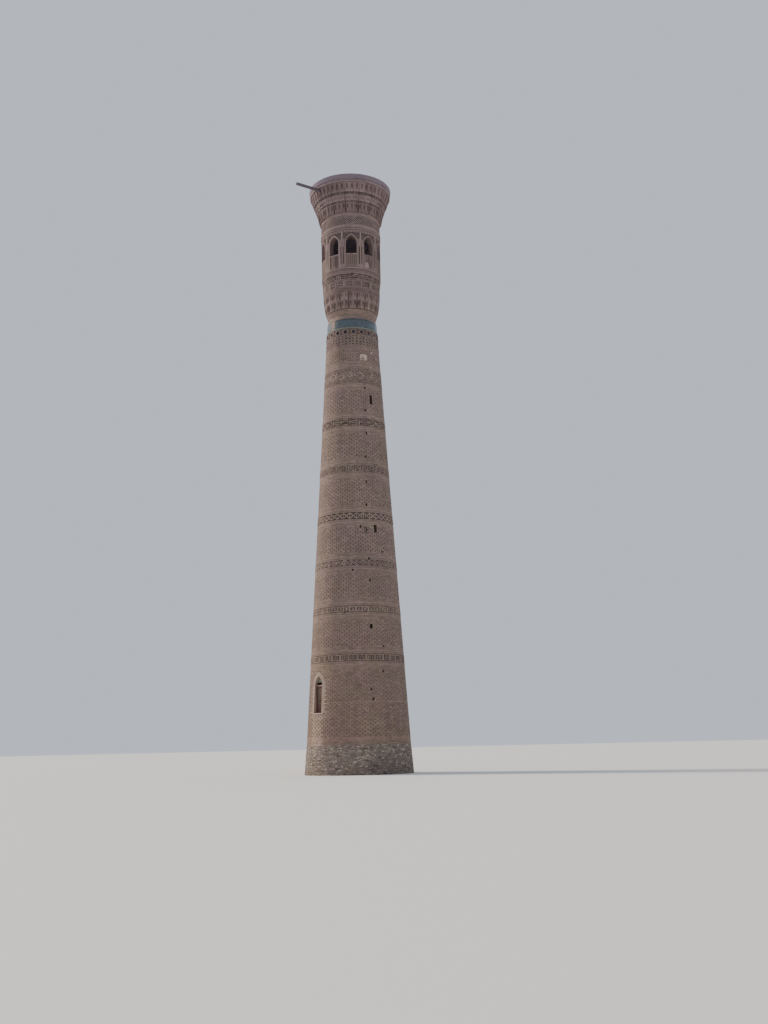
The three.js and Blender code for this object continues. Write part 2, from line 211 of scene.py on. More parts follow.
weathering, weather_in, weather_out = new_group(
    "weathering", [("Blotch Size", 0.45), ("Streak Squeeze", 0.12)], ["Blotch", "Streak", "Drift"])
place = object_place(weathering)
squeeze = add_node(weathering, "CombineXYZ", X=1.0, Y=1.0, Z=weather_in.outputs["Streak Squeeze"])
drawn_down = add_math(weathering, "MULTIPLY", place, squeeze.outputs[0], kind="VectorMath")
blotch = add_noise(weathering, place, weather_in.outputs["Blotch Size"], detail=5.0, roughness=0.62)
streak = add_noise(weathering, drawn_down, 2.6, roughness=0.6)
drift = add_noise(weathering, place, 0.8, detail=3.0, roughness=0.5)
feed(weathering, weather_out, Blotch=add_range(weathering, blotch, 0.32, 0.68),
     Streak=add_range(weathering, streak, 0.42, 0.72), Drift=add_range(weathering, drift, 0.40, 0.60))

grain, grain_in, grain_out = new_group("clay_grain", [("Grain Scale", 60.0)], ["Shade", "Height"])
place = object_place(grain)
fine = add_noise(grain, place, grain_in.outputs["Grain Scale"], detail=6.0, roughness=0.7)
coarse = add_noise(grain, place, 9.0, detail=3.0, roughness=0.5)
pits = [add_math(grain, "MULTIPLY", noise, share) for noise, share in ((fine, 0.7), (coarse, 0.3))]
feed(grain, grain_out, Shade=add_range(grain, fine, 0.3, 0.7), Height=add_math(grain, "ADD", *pits))

round_courses, courses_in, courses_out = new_group("round_courses", [("Radius", 1.9)], ["Joint", "Shade"])
place = add_node(round_courses, "SeparateXYZ", Vector=object_place(round_courses))
turn = add_math(round_courses, "ARCTAN2", place.outputs["X"], place.outputs["Y"])
arc = add_math(round_courses, "MULTIPLY", turn, courses_in.outputs["Radius"])
unrolled = add_node(round_courses, "CombineXYZ", X=arc, Y=place.outputs["Z"])
bond = add_node(round_courses, "TexBrick", Vector=unrolled.outputs[0], Scale=1.0, Brick_Width=BRICK_LONG,
                Row_Height=COURSE, Mortar_Size=0.005, Mortar_Smooth=0.3,
                Color1=(0.0, 0.0, 0.0, 1.0), Color2=(1.0, 1.0, 1.0, 1.0))
feed(round_courses, courses_out, Joint=bond.outputs["Fac"], Shade=bond.outputs["Color"])
print("shared effects:", weathering.name, grain.name, round_courses.name)

# %% [markdown]
# Fired brick is never one colour. Each brick's own tone is stored on its points when it is laid, from
# 0 for over-fired and dark to 1 for pale and under-fired, and a ramp turns that into three clay colours.
# The weathering then darkens whole stretches, so the wall reads as one surface from afar. The same
# builder makes mortar, plaster and rubbed brick, with other colours.

# %% Masonry finishes
def color(red, green, blue):
    """A colour as seen on a screen, 0 to 255, made linear."""
    seen = np.array([red, green, blue]) / 255.0
    return tuple(np.where(seen <= 0.04045, seen / 12.92, ((seen + 0.055) / 1.055) ** 2.4)) + (1.0,)


def darker(tint, share):
    return tuple(share * part for part in tint[:3]) + (1.0,)


def add_ramp(tree, value, stops):
    ramp = add_node(tree, "ValToRGB", Fac=value)
    elements = ramp.color_ramp.elements
    while len(elements) < len(stops):
        elements.new(0.5)
    for element, (position, tint) in zip(elements, stops):
        element.position = position
        element.color = tint
    return ramp.outputs["Color"]


def add_mix(tree, share, first, second, mode="MIX"):
    node = add_node(tree, "Mix")
    node.data_type = "RGBA"
    node.blend_type = mode
    for index, value in ((0, share), (6, first), (7, second)):
        give(tree, node.inputs[index], value)
    return node.outputs[2]


def add_group(tree, group, **values):
    node = add_node(tree, "Group")
    node.node_tree = group
    return feed(tree, node, **values)


def add_tone(tree):
    """The tone stored on a piece's points."""
    node = add_node(tree, "Attribute")
    node.attribute_name = "tone"
    return node.outputs["Fac"]


def add_relief(tree, shader, height, strength, distance):
    relief = add_node(tree, "Bump", Height=height, Strength=strength, Distance=distance)
    feed(tree, shader, Normal=relief.outputs["Normal"])


EARTH_TINT, EARTH_LEVELS = (0.98, 0.94, 0.86, 1.0), (0.0, 13.0)
# The colour turns bluer from the lower to the upper of these two heights.
HIGH_TINT, HIGH_LEVELS = (1.0, 0.985, 1.15, 1.0), (27.0, 38.0)
WARM_TINT = (1.01, 1.01, 0.95, 1.0)
ROSY_TINT = (1.03, 0.975, 1.02, 1.0)
CLAY_ROUGHNESS = (0.82, 0.96)
CLAY_SHINE = 0.25
PIT_DEEP = 0.006


def masonry(name, dark, middle, pale, soot=0.55, bump=0.5, coursed=0.0):
    """Ramp of the tone attribute between three screen colours, darkened by blotches and streaks, with
    grain as bump. With coursed, the radius of a round wall, the round courses add joints and tones."""
    dark, middle, pale = color(*dark), color(*middle), color(*pale)
    material, tree, shader = new_finish(name)
    weather = add_group(tree, weathering)
    clay = add_group(tree, grain)
    spread = add_math(tree, "MULTIPLY", add_math(tree, "SUBTRACT", clay.outputs["Shade"], 0.5), 0.22)
    relief = clay.outputs["Height"]
    if coursed:
        laid_courses = add_group(tree, round_courses, Radius=coursed)
        brick_tone = add_math(tree, "MULTIPLY", laid_courses.outputs["Shade"], 0.16)
        joint_tone = add_math(tree, "MULTIPLY", laid_courses.outputs["Joint"], 0.3)
        spread = add_math(tree, "SUBTRACT", add_math(tree, "ADD", spread, brick_tone), joint_tone)
        sunk = add_math(tree, "MULTIPLY", laid_courses.outputs["Joint"], 0.9)
        relief = add_math(tree, "SUBTRACT", relief, sunk)
    fired = add_ramp(tree, add_math(tree, "ADD", add_tone(tree), spread),
                     [(0.0, dark), (0.5, middle), (1.0, pale)])
    height = add_node(tree, "SeparateXYZ", Vector=object_place(tree)).outputs["Z"]
    near_ground = add_range(tree, height, *EARTH_LEVELS, 1.0, 0.0)
    fired = add_mix(tree, near_ground, fired, EARTH_TINT, "MULTIPLY")
    fired = add_mix(tree, add_range(tree, height, *HIGH_LEVELS), fired, HIGH_TINT, "MULTIPLY")
    drifting = add_mix(tree, weather.outputs["Drift"], WARM_TINT, ROSY_TINT)
    fired = add_mix(tree, 1.0, fired, drifting, "MULTIPLY")
    blotched = add_math(tree, "MULTIPLY", weather.outputs["Blotch"], 0.6)
    shaded = add_math(tree, "ADD", blotched, add_math(tree, "MULTIPLY", weather.outputs["Streak"], 0.5))
    grime = add_math(tree, "MULTIPLY", shaded, soot)
    feed(tree, shader, Base_Color=add_mix(tree, grime, fired, darker(middle, 0.55)),
         Roughness=add_range(tree, clay.outputs["Shade"], 0.0, 1.0, *CLAY_ROUGHNESS),
         Specular_IOR_Level=CLAY_SHINE)
    add_relief(tree, shader, relief, bump, PIT_DEEP)
    return material


facing = masonry("facing_brick", (62, 51, 48), (141, 123, 115), (188, 172, 160))
carved = masonry("carved_brick", (54, 46, 44), (136, 119, 112), (182, 166, 154))
mortar = masonry("mortar", (80, 70, 66), (102, 90, 84), (140, 126, 116), soot=0.7)
# Painted shade: the dark ground of the carved bands, and the dark grooves and hole shadows laid in this
# finish.
shadow_core = masonry("band_core", (48, 41, 39), (72, 62, 58), (94, 82, 76), soot=0.6)
moulding = masonry("moulding_brick", (92, 79, 73), (137, 120, 112), (178, 162, 150))
reddish = masonry("reddish_brick", (70, 56, 52), (145, 123, 115), (189, 168, 156))
rim_finish = masonry("rim_brick", (66, 58, 58), (132, 119, 117), (142, 134, 143), soot=0.35)
pale = masonry("surround_brick", (116, 103, 95), (166, 150, 139), (204, 190, 178), soot=0.3)
footing = masonry("foot_masonry", (86, 78, 74), (134, 124, 119), (194, 186, 179), soot=0.45)
plaster = masonry("grey_plaster", (88, 90, 84), (124, 127, 118), (160, 162, 152), bump=0.3)
roofing = masonry("roof_plaster", (118, 104, 90), (160, 144, 126), (186, 172, 150))
# The inner faces' bluish colour is painted shade: the cool light inside the tower.
inner_brick = masonry("inner_brick", (60, 56, 62), (122, 117, 128), (166, 160, 170), coursed=1.7)
lantern_brick = masonry("lantern_brick", (68, 58, 55), (134, 117, 110), (172, 157, 147), coursed=1.95)
# Near-black finish for holes: painted shade inside them.
hole_shade = masonry("deep_hole", (18, 15, 15), (34, 29, 28), (50, 43, 41), soot=0.1, bump=0.2)
dim_hollow = masonry("roundel_hollow", (42, 38, 44), (64, 58, 67), (86, 79, 87), soot=0.2)
print("masonry finishes:", len(bpy.data.materials))

# %% [markdown]
# Glaze is fired glass on clay: a thin clear coat over a colour that runs from dark teal to bright
# turquoise from tile to tile. Where it has spalled, the clay shows. Timber is a noise stretched along
# the grain, dark in its checks. The glaze reads the same tone attribute as the bricks.

# %% Glaze, timber and iron
GLAZE_STOPS = [(0.0, color(42, 48, 55)), (0.45, color(64, 73, 80)), (0.8, color(62, 88, 97)),
               (1.0, color(84, 118, 124))]
BARE_CLAY = color(116, 100, 90)
BARE_IRON, RUST = color(46, 42, 42), color(92, 58, 42)
SHALLOW = 0.004


def glazed(name):
    material, tree, shader = new_finish(name)
    place = object_place(tree)
    cloud = add_math(tree, "SUBTRACT", add_noise(tree, place, 14.0, detail=3.0), 0.5)
    clouded = add_math(tree, "ADD", add_tone(tree), add_math(tree, "MULTIPLY", cloud, 0.35))
    glass = add_ramp(tree, clouded, GLAZE_STOPS)
    spalled = add_range(tree, add_noise(tree, place, 23.0, detail=5.0, roughness=0.7), 0.60, 0.66)
    feed(tree, shader, Base_Color=add_mix(tree, spalled, glass, BARE_CLAY),
         Roughness=add_range(tree, spalled, 0.0, 1.0, 0.28, 0.9),
         Coat_Weight=add_range(tree, spalled, 0.0, 1.0, 0.5, 0.0))
    add_relief(tree, shader, add_math(tree, "MULTIPLY", spalled, -1.0), 0.4, SHALLOW)
    return material


def timber(name, dark, light, squeeze):
    """squeeze is the scale of the grain along x, y and z: small along the board's length."""
    dark, light = color(*dark), color(*light)
    material, tree, shader = new_finish(name)
    along = add_node(tree, "Mapping", Vector=object_place(tree), Scale=squeeze).outputs[0]
    fibre = add_noise(tree, along, 6.0, detail=8.0, roughness=0.72)
    checks = add_range(tree, add_noise(tree, along, 13.0, detail=2.0), 0.60, 0.68)
    wood = add_ramp(tree, fibre, [(0.3, dark), (0.7, light)])
    feed(tree, shader, Base_Color=add_mix(tree, checks, wood, darker(dark, 0.3)),
         Roughness=add_range(tree, fibre, 0.3, 0.7, 0.82, 0.62))
    add_relief(tree, shader, add_math(tree, "SUBTRACT", fibre, checks), 0.6, SHALLOW)
    return material


def iron(name):
    material, tree, shader = new_finish(name)
    noise = add_noise(tree, object_place(tree), 60.0, detail=5.0, roughness=0.7)
    rusty = add_range(tree, noise, 0.45, 0.6)
    feed(tree, shader, Base_Color=add_mix(tree, rusty, BARE_IRON, RUST),
         Roughness=add_range(tree, rusty, 0.0, 1.0, 0.45, 0.85),
         Metallic=add_range(tree, rusty, 0.0, 1.0, 0.9, 0.2))
    return material


glaze = glazed("glazed_tile")
leaf_wood = timber("leaf_wood", (70, 60, 52), (124, 109, 92), (9.0, 9.0, 0.8))
frame_wood = timber("frame_wood", (72, 46, 42), (122, 86, 78), (9.0, 9.0, 0.8))
# The transom's pale colour is partly its own and partly painted light, the sky light it catches in its
# recess.
transom_wood = timber("transom_wood", (136, 114, 106), (184, 162, 152), (0.8, 9.0, 9.0))
beam_wood = timber("beam_wood", (58, 50, 60), (116, 104, 116), (9.0, 0.7, 9.0))
old_iron = iron("old_iron")
print("other finishes:", glaze.name, leaf_wood.name, beam_wood.name, old_iron.name)

# %% [markdown]
# The solids whose shape is right stay and only get a finish. Under the brickwork they are its mortar;
# under the carving they are the ground that shows between the raised strips, dark with painted shade.
# Their inner sides, seen through the arches and the open door, are coursed brick, bluish with painted
# shade, so every solid takes two finishes: one for faces that look away from the axis, and one for
# faces that look towards it.

# %% Finish the solids
NODE_FINISH = {
    "foot_course": mortar, "base_drum": mortar, "entrance": mortar, "shaft_drum": mortar,
    "door_surround": pale, "door_tympanum": plaster, "door_leaf": leaf_wood,
    "frame_post": frame_wood, "frame_transom": transom_wood,
    "carved_band": shadow_core, "lattice_band": shadow_core, "roundel_band": mortar,
    "glazed_band": mortar, "neck_ring": mortar, "corbel_row": mortar, "gallery_drum": shadow_core,
    "gallery_moulding": moulding, "lantern_floor": roofing, "lantern": lantern_brick,
    "upper_drum": carved, "crown_row": carved, "crown_rim": mortar, "roof_cap": roofing,
    "roof_beam": beam_wood,
}
SAME_BOTH_SIDES = ("door", "frame", "roof", "lantern_floor")
GROUND_TONE = 0.5
TOWARDS_AXIS = -0.35
NO_RADIUS = 1e-6


def finish_node(name, outside, inside):
    shape = bpy.data.objects[name].data
    shape.materials.clear()
    shape.materials.append(outside)
    shape.materials.append(inside)
    count = len(shape.polygons)
    middles, normals = np.empty(count * 3), np.empty(count * 3)
    shape.polygons.foreach_get("center", middles)
    shape.polygons.foreach_get("normal", normals)
    middles, normals = middles.reshape(-1, 3)[:, :2], normals.reshape(-1, 3)[:, :2]
    away = (middles * normals).sum(1) / np.maximum(np.linalg.norm(middles, axis=1), NO_RADIUS)
    shape.polygons.foreach_set("material_index", (away < TOWARDS_AXIS).astype(np.int32))
    if "tone" not in shape.attributes:
        tone = shape.attributes.new("tone", "FLOAT", "POINT")
        tone.data.foreach_set("value", np.full(len(shape.vertices), GROUND_TONE, np.float32))


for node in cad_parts:
    fitting = [start for start in NODE_FINISH if node.startswith(start)]
    outside = NODE_FINISH[max(fitting, key=len)]
    finish_node(node, outside, outside if node.startswith(SAME_BOTH_SIDES) else inner_brick)
print("finished", len(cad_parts), "solids")

# %% [markdown]
# Nearly everything on this tower is a small slab on a round wall: a brick, a strip of carving, a tile.
# One function makes any number of them at once from an array of outlines, as closed solids, and
# another joins such arrays into one object. Walls are functions that give the radius at a height, so
# the same slab follows the tapering shaft, the flaring crown or a straight drum.

# %% Slabs on a round wall
SHAFT_AT_GROUND = 3.300
SHAFT_TAPER = 0.0574


def shaft(height):
    """The shaft's outer radius: 3.300 m at the ground, less 57 mm for each metre up."""
    return SHAFT_AT_GROUND - SHAFT_TAPER * height


def cone(low, low_radius, high, high_radius):
    """A wall whose radius runs straight from one height to another."""
    slope = (high_radius - low_radius) / (high - low)
    return lambda height: low_radius + slope * (height - low)


def upright_wall(radius):
    """A wall with one radius at every height."""
    return lambda height: radius + 0.0 * height


def span(node):
    low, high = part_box(node)
    return low[2], high[2]


def prism_faces(count, corners):
    """Fronts, backs and sides of prisms. The points of each are a ring in front and a ring behind."""
    first = (np.arange(count) * corners * 2)[:, None]
    here = np.arange(corners)
    after = np.roll(here, -1)
    sides = first[:, :, None] + np.stack([here, here + corners, after + corners, after], -1)[None]
    return [first + here, first + corners + here[::-1], sides.reshape(-1, 4)]


def slabs(outline, wall, back, face, tone, side_shade=0.25):
    """Closed slabs. outline is (count, corners, 2): each corner's azimuth and height, anticlockwise as
    seen from outside. A corner stands at r = wall(height) + face, and its back at wall(height) + back.
    The tone falls from the face to the back: painted shade on the slab's sides."""
    count, corners, _ = outline.shape
    azimuth, height = outline[..., 0], outline[..., 1]
    rings = [round_place(azimuth, wall(height) + np.reshape(offset, (-1, 1)), height)
             for offset in (face, back)]
    tones = np.broadcast_to(tone, (count,))[:, None] - np.repeat([0.0, side_shade], corners)
    points = np.stack(rings, 1).reshape(-1, 3)
    return points, prism_faces(count, corners), np.clip(tones, 0.0, 1.0).ravel()


def bricks(azimuth, height, long, tall, wall, back, face, tone):
    """Upright rectangles, given by their middles, the length along the wall and the height, in metres."""
    azimuth, height = np.broadcast_arrays(np.atleast_1d(azimuth), height)
    half_turn = 0.5 * np.broadcast_to(long, azimuth.shape) / wall(height)
    half_rise = 0.5 * np.broadcast_to(tall, azimuth.shape)
    corners = [np.stack([azimuth + x * half_turn, height + z * half_rise], -1)
               for x, z in ((-1, -1), (1, -1), (1, 1), (-1, 1))]
    return slabs(np.stack(corners, 1), wall, back, face, tone)


def strokes(segments, wall, wide, back, face, tone, side_shade=0.9):
    """Strips between two places on the wall. segments is (count, 4): azimuth and height of both ends.
    The strip's sides are moved half its width along the normal, worked out on the unrolled wall."""
    start, end = segments[:, :2], segments[:, 2:]
    radius = wall(0.5 * (start[:, 1] + end[:, 1]))
    scale = np.stack([radius, np.ones_like(radius)], -1)
    run = (end - start) * scale
    length = np.linalg.norm(run, axis=1, keepdims=True)
    along = run / length * (wide / 2)
    normal = np.stack([-along[:, 1], along[:, 0]], -1)
    start, end = start * scale, end * scale
    corners = [start - along - normal, end + along - normal, end + along + normal, start - along + normal]
    outline = np.stack(corners, 1) / scale[:, None]
    # A strip's sides take strong painted shade towards its back.
    return slabs(outline, wall, back, face, tone, side_shade)


def ring_cells(outer, inner):
    """The four-cornered cells between two closed outlines that have as many points."""
    return np.stack([outer, np.roll(outer, -1, 0), np.roll(inner, -1, 0), inner], 1)


def set_at(places, cells):
    """Every cell at every place: places is (count, 2) and cells is (number, corners, 2)."""
    return np.repeat(places, len(cells), axis=0)[:, None] + np.tile(cells, (len(places), 1, 1))


def for_cells(tone, count, cells):
    """One tone for each place, or one for all, handed on to the cells of each place."""
    return np.repeat(np.broadcast_to(tone, count), cells)


def every_pair(rows, columns):
    """The row and the column of every place of a grid, row by row."""
    return [grid.ravel() for grid in np.meshgrid(np.arange(rows), np.arange(columns), indexing="ij")]


def apart(azimuth, middle=0.0):
    """The angle between two azimuths, by the shorter way round."""
    return np.abs((azimuth - middle + math.pi) % TAU - math.pi)


def add_piece(name, parts, material, body=BODY):
    """Joins (points, faces, tone) parts into one object that rides on a body."""
    shape = bpy.data.meshes.new(name)
    points = np.concatenate([part[0] for part in parts]).astype(np.float32)
    tone = np.concatenate([part[2] for part in parts]).astype(np.float32)
    faces, first = [], 0
    for part_points, part_faces, _ in parts:
        faces += [group + first for group in part_faces if len(group)]
        first += len(part_points)
    sizes = np.concatenate([np.full(len(group), group.shape[1]) for group in faces])
    loops = np.concatenate([group.ravel() for group in faces]).astype(np.int32)
    starts = np.concatenate([[0], np.cumsum(sizes)[:-1]]).astype(np.int32)
    shape.vertices.add(len(points))
    shape.vertices.foreach_set("co", points.ravel())
    shape.loops.add(len(loops))
    shape.loops.foreach_set("vertex_index", loops)
    shape.polygons.add(len(sizes))
    shape.polygons.foreach_set("loop_start", starts)
    shape.update(calc_edges=True)
    shape.polygons.foreach_set("use_smooth", np.full(len(sizes), False))
    shape.attributes.new("tone", "FLOAT", "POINT").data.foreach_set("value", tone)
    shape.materials.append(material)
    piece = put_in_scene(name, shape)
    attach(piece, body)
    print(name, len(sizes), "faces")
    return piece


# %% [markdown]
# Masons lay courses, so the heights come from whole courses between two levels, and the bricks of each
# course are moved half a length against the one below. Where something else goes, such as the doorway,
# a slit window or a putlog hole, there is a window: a place with its azimuth, half its width in metres
# and its two levels. Every course cuts its bricks at the windows, as a mason would.

# %% Windows that the bricks are cut around
BRICK_FACE = 0.014
BRICK_BACK = -0.02
BRICK_UNEVEN = 0.003
JOINT = 0.009
SHORTEST = 0.02
OVERLAP = 0.01
DOOR_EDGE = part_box("door_surround")
DOOR_TOP = DOOR_EDGE[1][2]
SILL = DOOR_EDGE[0][2]
SURROUND_HALF = DOOR_EDGE[1][0]
DOOR_SPRING = 5.28
SLITS = [(71.0, 251.0, 8.63, 8.91, 0.15), (83.5, 276.5, 14.64, 15.12, 0.20),
         (88.2, 271.8, 23.11, 23.71, 0.20)]
SLIT_GAP = 0.002
PUTLOG_HOLES = [(24.17, 75.9), (22.63, 75.0), (21.11, 75.4), (19.52, 72.5), (17.88, 71.9), (16.38, 70.5),
                (14.97, 60.6), (13.44, 92.8), (12.95, 71.3), (12.25, 48.5), (11.60, 71.6), (9.69, 37.3),
                (7.56, 86.0), (6.05, 84.2), (4.97, 68.1), (4.40, 70.1)]
PUTLOG_HALF, PUTLOG_HALF_TALL = 0.052, 0.06
JAMB_BLOCKS = 13
TOOTH_OUT = 0.78
TOOTH_GAP, TOOTH_BED = 0.004, 0.02
windows = []


def pointed_arch(half, spring, apex, steps=7):
    """The arch's right half from the spring to the point, struck from a centre on the spring line."""
    rise = apex - spring
    offset = (rise * rise - half * half) / (2 * half)
    angle = np.linspace(0.0, math.atan2(rise, offset), steps)
    reach = half + offset
    return np.stack([reach * np.cos(angle) - offset, spring + reach * np.sin(angle)], -1)


for near, far, slit_foot, slit_top, slit_wide in SLITS:
    for place in (near, far):
        windows.append((math.radians(place), slit_wide / 2 + SLIT_GAP, slit_foot, slit_top))
for level, place in PUTLOG_HOLES:
    windows.append((math.radians(place), PUTLOG_HALF, level - PUTLOG_HALF_TALL, level + PUTLOG_HALF_TALL))
windows.append((0.0, SURROUND_HALF, SILL, DOOR_SPRING))
tooth_rise = (DOOR_SPRING - SILL) / JAMB_BLOCKS
for tooth in range(0, JAMB_BLOCKS, 2):
    low, high = SILL + tooth * tooth_rise, SILL + (tooth + 1) * tooth_rise
    windows.append((0.0, TOOTH_OUT + TOOTH_GAP, low, high - TOOTH_BED))
outer_arch = pointed_arch(SURROUND_HALF, DOOR_SPRING, DOOR_TOP, 16)
for (wide, low), (narrow, high) in zip(outer_arch[:-1], outer_arch[1:]):
    windows.append((0.0, 0.5 * (wide + narrow), low, high))


def cut_around(left, right, height, tall):
    """Bricks as left and right azimuths. One that meets a window keeps its ends to both sides of it."""
    for middle, half, low, high in windows:
        edge = half / shaft(0.5 * (low + high))
        turn = TAU * np.round((0.5 * (left + right) - middle) / TAU)
        from_middle, to_middle = left - turn - middle, right - turn - middle
        meets = (from_middle < edge) & (to_middle > -edge)
        meets &= (height + tall / 2 > low + OVERLAP) & (height - tall / 2 < high - OVERLAP)
        hit = np.flatnonzero(meets)
        rest = ~meets
        left_end = np.minimum(to_middle[hit], -edge) + middle + turn[hit]
        right_start = np.maximum(from_middle[hit], edge) + middle + turn[hit]
        left, right = (np.concatenate([left[rest], left[hit], right_start]),
                       np.concatenate([right[rest], left_end, right[hit]]))
        height = np.concatenate([height[rest], height[hit], height[hit]])
        long_enough = (right - left) * shaft(height) > SHORTEST
        left, right, height = left[long_enough], right[long_enough], height[long_enough]
    return left, right, height


def courses(low, high, step):
    """Heights of the middles of whole courses between two levels, and one course's height."""
    count = max(1, round((high - low) / step))
    rise = (high - low) / count
    return low + rise * (np.arange(count) + 0.5), rise


def staggered(rows, count):
    """Places on every row, moved by half a step on every other one."""
    row, column = every_pair(len(rows), count)
    return (column + 0.5 * (row % 2)) * TAU / count, rows[row]


def fired_tones(count, middle=0.5, spread=0.07):
    return np.clip(chance.normal(middle, spread, count), 0.0, 1.0)


WASHED_HALF, WASHED_FOOT = 0.62, 1.7
WASHED_LIFT, WASHED_SPREAD = 0.26, 0.10


def washed(azimuth, height):
    """The stretch under the doorway was patched with pale mortar: its tone is raised there."""
    under_door = (apart(azimuth) * shaft(height) < WASHED_HALF) & (height < SILL) & (height > WASHED_FOOT)
    speckled = WASHED_LIFT + WASHED_SPREAD * chance.standard_normal(len(azimuth))
    return np.where(under_door, speckled, 0.0)


def laid(azimuth, height, long, tall, wall, face=BRICK_FACE, middle=0.5, spread=0.07):
    """Bricks at these places, cut where they meet a window."""
    half_turn = 0.5 * long / wall(height)
    left, right, height = cut_around(azimuth - half_turn, azimuth + half_turn, height, tall)
    azimuth = 0.5 * (left + right)
    stands = face + chance.uniform(-BRICK_UNEVEN, BRICK_UNEVEN, len(azimuth))
    tone = np.clip(fired_tones(len(azimuth), middle, spread) + washed(azimuth, height), 0.0, 1.0)
    return bricks(azimuth, height, (right - left) * wall(height), tall, wall, BRICK_BACK, stands, tone)


# %% [markdown]
# The shaft's brickwork has two bonds. Near each carved band the bricks run plain, in staggered courses
# of 60 mm. Between those zones they stand in pairs, one above the other, with a narrow carved insert
# between pair and pair. Every row is moved half a step, so from afar the dark inserts draw a lattice of
# diamonds 0.3 m wide. The inserts are set deeper, and their darker tone is painted shade.

# %% Plain courses and paired bricks
PAIR_STEP = 0.305
PAIR_ROW = 0.12
INSERT_WIDE = 0.050
INSERT_FACE = 0.002
BOW_TIE = np.array([(-1, -1), (1, -1), (0.35, 0), (1, 1), (-1, 1), (-0.35, 0)], float)
RING_GAP = 0.003


def plain_courses(low, high, wall, **looks):
    rows, rise = courses(low, high, COURSE)
    count = round(TAU * wall(0.5 * (low + high)) / BRICK_LONG)
    azimuth, height = staggered(rows, count)
    long = TAU * wall(height[0]) / count - JOINT
    return laid(azimuth, height, long, rise - JOINT, wall, **looks)


def bow_ties(azimuth, height, wide, tall, wall, face, tone):
    """The carved inserts: upright strips with both sides nicked towards the middle. Those that would
    meet a window are left out."""
    half_turn = 0.5 * wide / wall(height)
    kept = np.ones(len(azimuth), bool)
    for middle, half, low, high in windows:
        clear = apart(azimuth, middle) > half / wall(height) + half_turn
        kept &= clear | (height - tall / 2 > high) | (height + tall / 2 < low)
    azimuth, height, half_turn = azimuth[kept], height[kept], half_turn[kept]
    outline = np.stack([azimuth[:, None] + half_turn[:, None] * BOW_TIE[:, 0],
                        height[:, None] + 0.5 * tall * BOW_TIE[:, 1]], -1)
    return slabs(outline, wall, BRICK_BACK, face, fired_tones(len(azimuth), tone, 0.05))


def paired_field(low, high, wall, insert_shade_tone):
    """Rows of brick pairs with an insert between neighbours: two bricks and one insert a step."""
    rows, rise = courses(low, high, PAIR_ROW)
    count = round(TAU * wall(0.5 * (low + high)) / PAIR_STEP)
    azimuth, height = staggered(rows, count)
    long = TAU * wall(height[-1]) / count - INSERT_WIDE - JOINT
    pairs = [laid(azimuth, height + half * rise, long, rise / 2 - JOINT, wall) for half in (-0.25, 0.25)]
    inserts = bow_ties(azimuth + math.pi / count, height, INSERT_WIDE - JOINT / 2, rise - JOINT, wall,
                       INSERT_FACE, insert_shade_tone)
    return pairs, inserts


def ring_line(height, wall, tall=0.035, proud=0.026, middle=0.72):
    """One course that stands out and is paler: it reads as a thin light line round the tower."""
    count = round(TAU * wall(height) / BRICK_LONG)
    azimuth = np.arange(count) * TAU / count
    long = TAU * wall(height) / count - RING_GAP
    return laid(azimuth, np.full(count, height), long, tall, wall, face=proud, middle=middle, spread=0.04)


def ring_lines(base, wall, table):
    """Rings from a table: height above the base, own height, how far it stands out, and tone."""
    return [ring_line(base + up, wall, tall=tall, proud=proud, middle=middle)
            for up, tall, proud, middle in table]


# %% [markdown]
# Now the shaft itself. The levels are read from the solids: each drum lies between two carved bands,
# and keeps a plain zone of about half a metre at both ends, with a light line in it.

# %% Brickwork of the shaft
PLAIN_ZONE, TOP_PLAIN_ZONE = 0.47, 0.25
LINE_AWAY = 0.15
BRICK_FOOT, BASE_LINE = 1.74, 4.25
REDDISH_COURSE = (1.98, 2.22)
STRETCHES = [("base", BRICK_FOOT, span("carved_band_1")[0])]
for number in range(1, 8):
    STRETCHES.append((f"drum_{number}", *span(f"shaft_drum_{number}")))
# The inserts' low tones are painted shade in their carved hollows.
INSERT_SHADE_TONES = (0.50, 0.34, 0.32, 0.22, 0.26, 0.30, 0.34, 0.34)

for (label, low, high), insert_shade_tone in zip(STRETCHES, INSERT_SHADE_TONES):
    field_low = REDDISH_COURSE[1] if label == "base" else low + PLAIN_ZONE
    field_high = high - (TOP_PLAIN_ZONE if label == "drum_7" else PLAIN_ZONE)
    plain_top = REDDISH_COURSE[0] if label == "base" else field_low
    parts = [plain_courses(field_high, high, shaft), plain_courses(low, plain_top, shaft)]
    if label != "drum_7":
        parts.append(ring_line(high - LINE_AWAY, shaft))
    if label != "base":
        parts.append(ring_line(low + LINE_AWAY, shaft))
    paired, inserts = paired_field(field_low, field_high, shaft, insert_shade_tone)
    add_piece(f"brickwork_{label}", parts + paired, facing)
    add_piece(f"inserts_{label}", [inserts], facing)
add_piece("reddish_courses", [plain_courses(*REDDISH_COURSE, shaft, middle=0.56)], reddish)
add_piece("base_ring", [ring_line(BASE_LINE, shaft, proud=0.017, middle=0.56)], facing)

# %% [markdown]
# The carved bands are strips of cut brick standing out from a dark ground. A band is one unit repeated
# round the tower, and a unit is a few lines in a square cell, one wide and one high. Each straight piece
# of a line becomes one strip. The patterns are plain geometry of the kind such towers carry, because the
# photograph is too coarse to show the true ones: knots, stars, brackets and hooks.

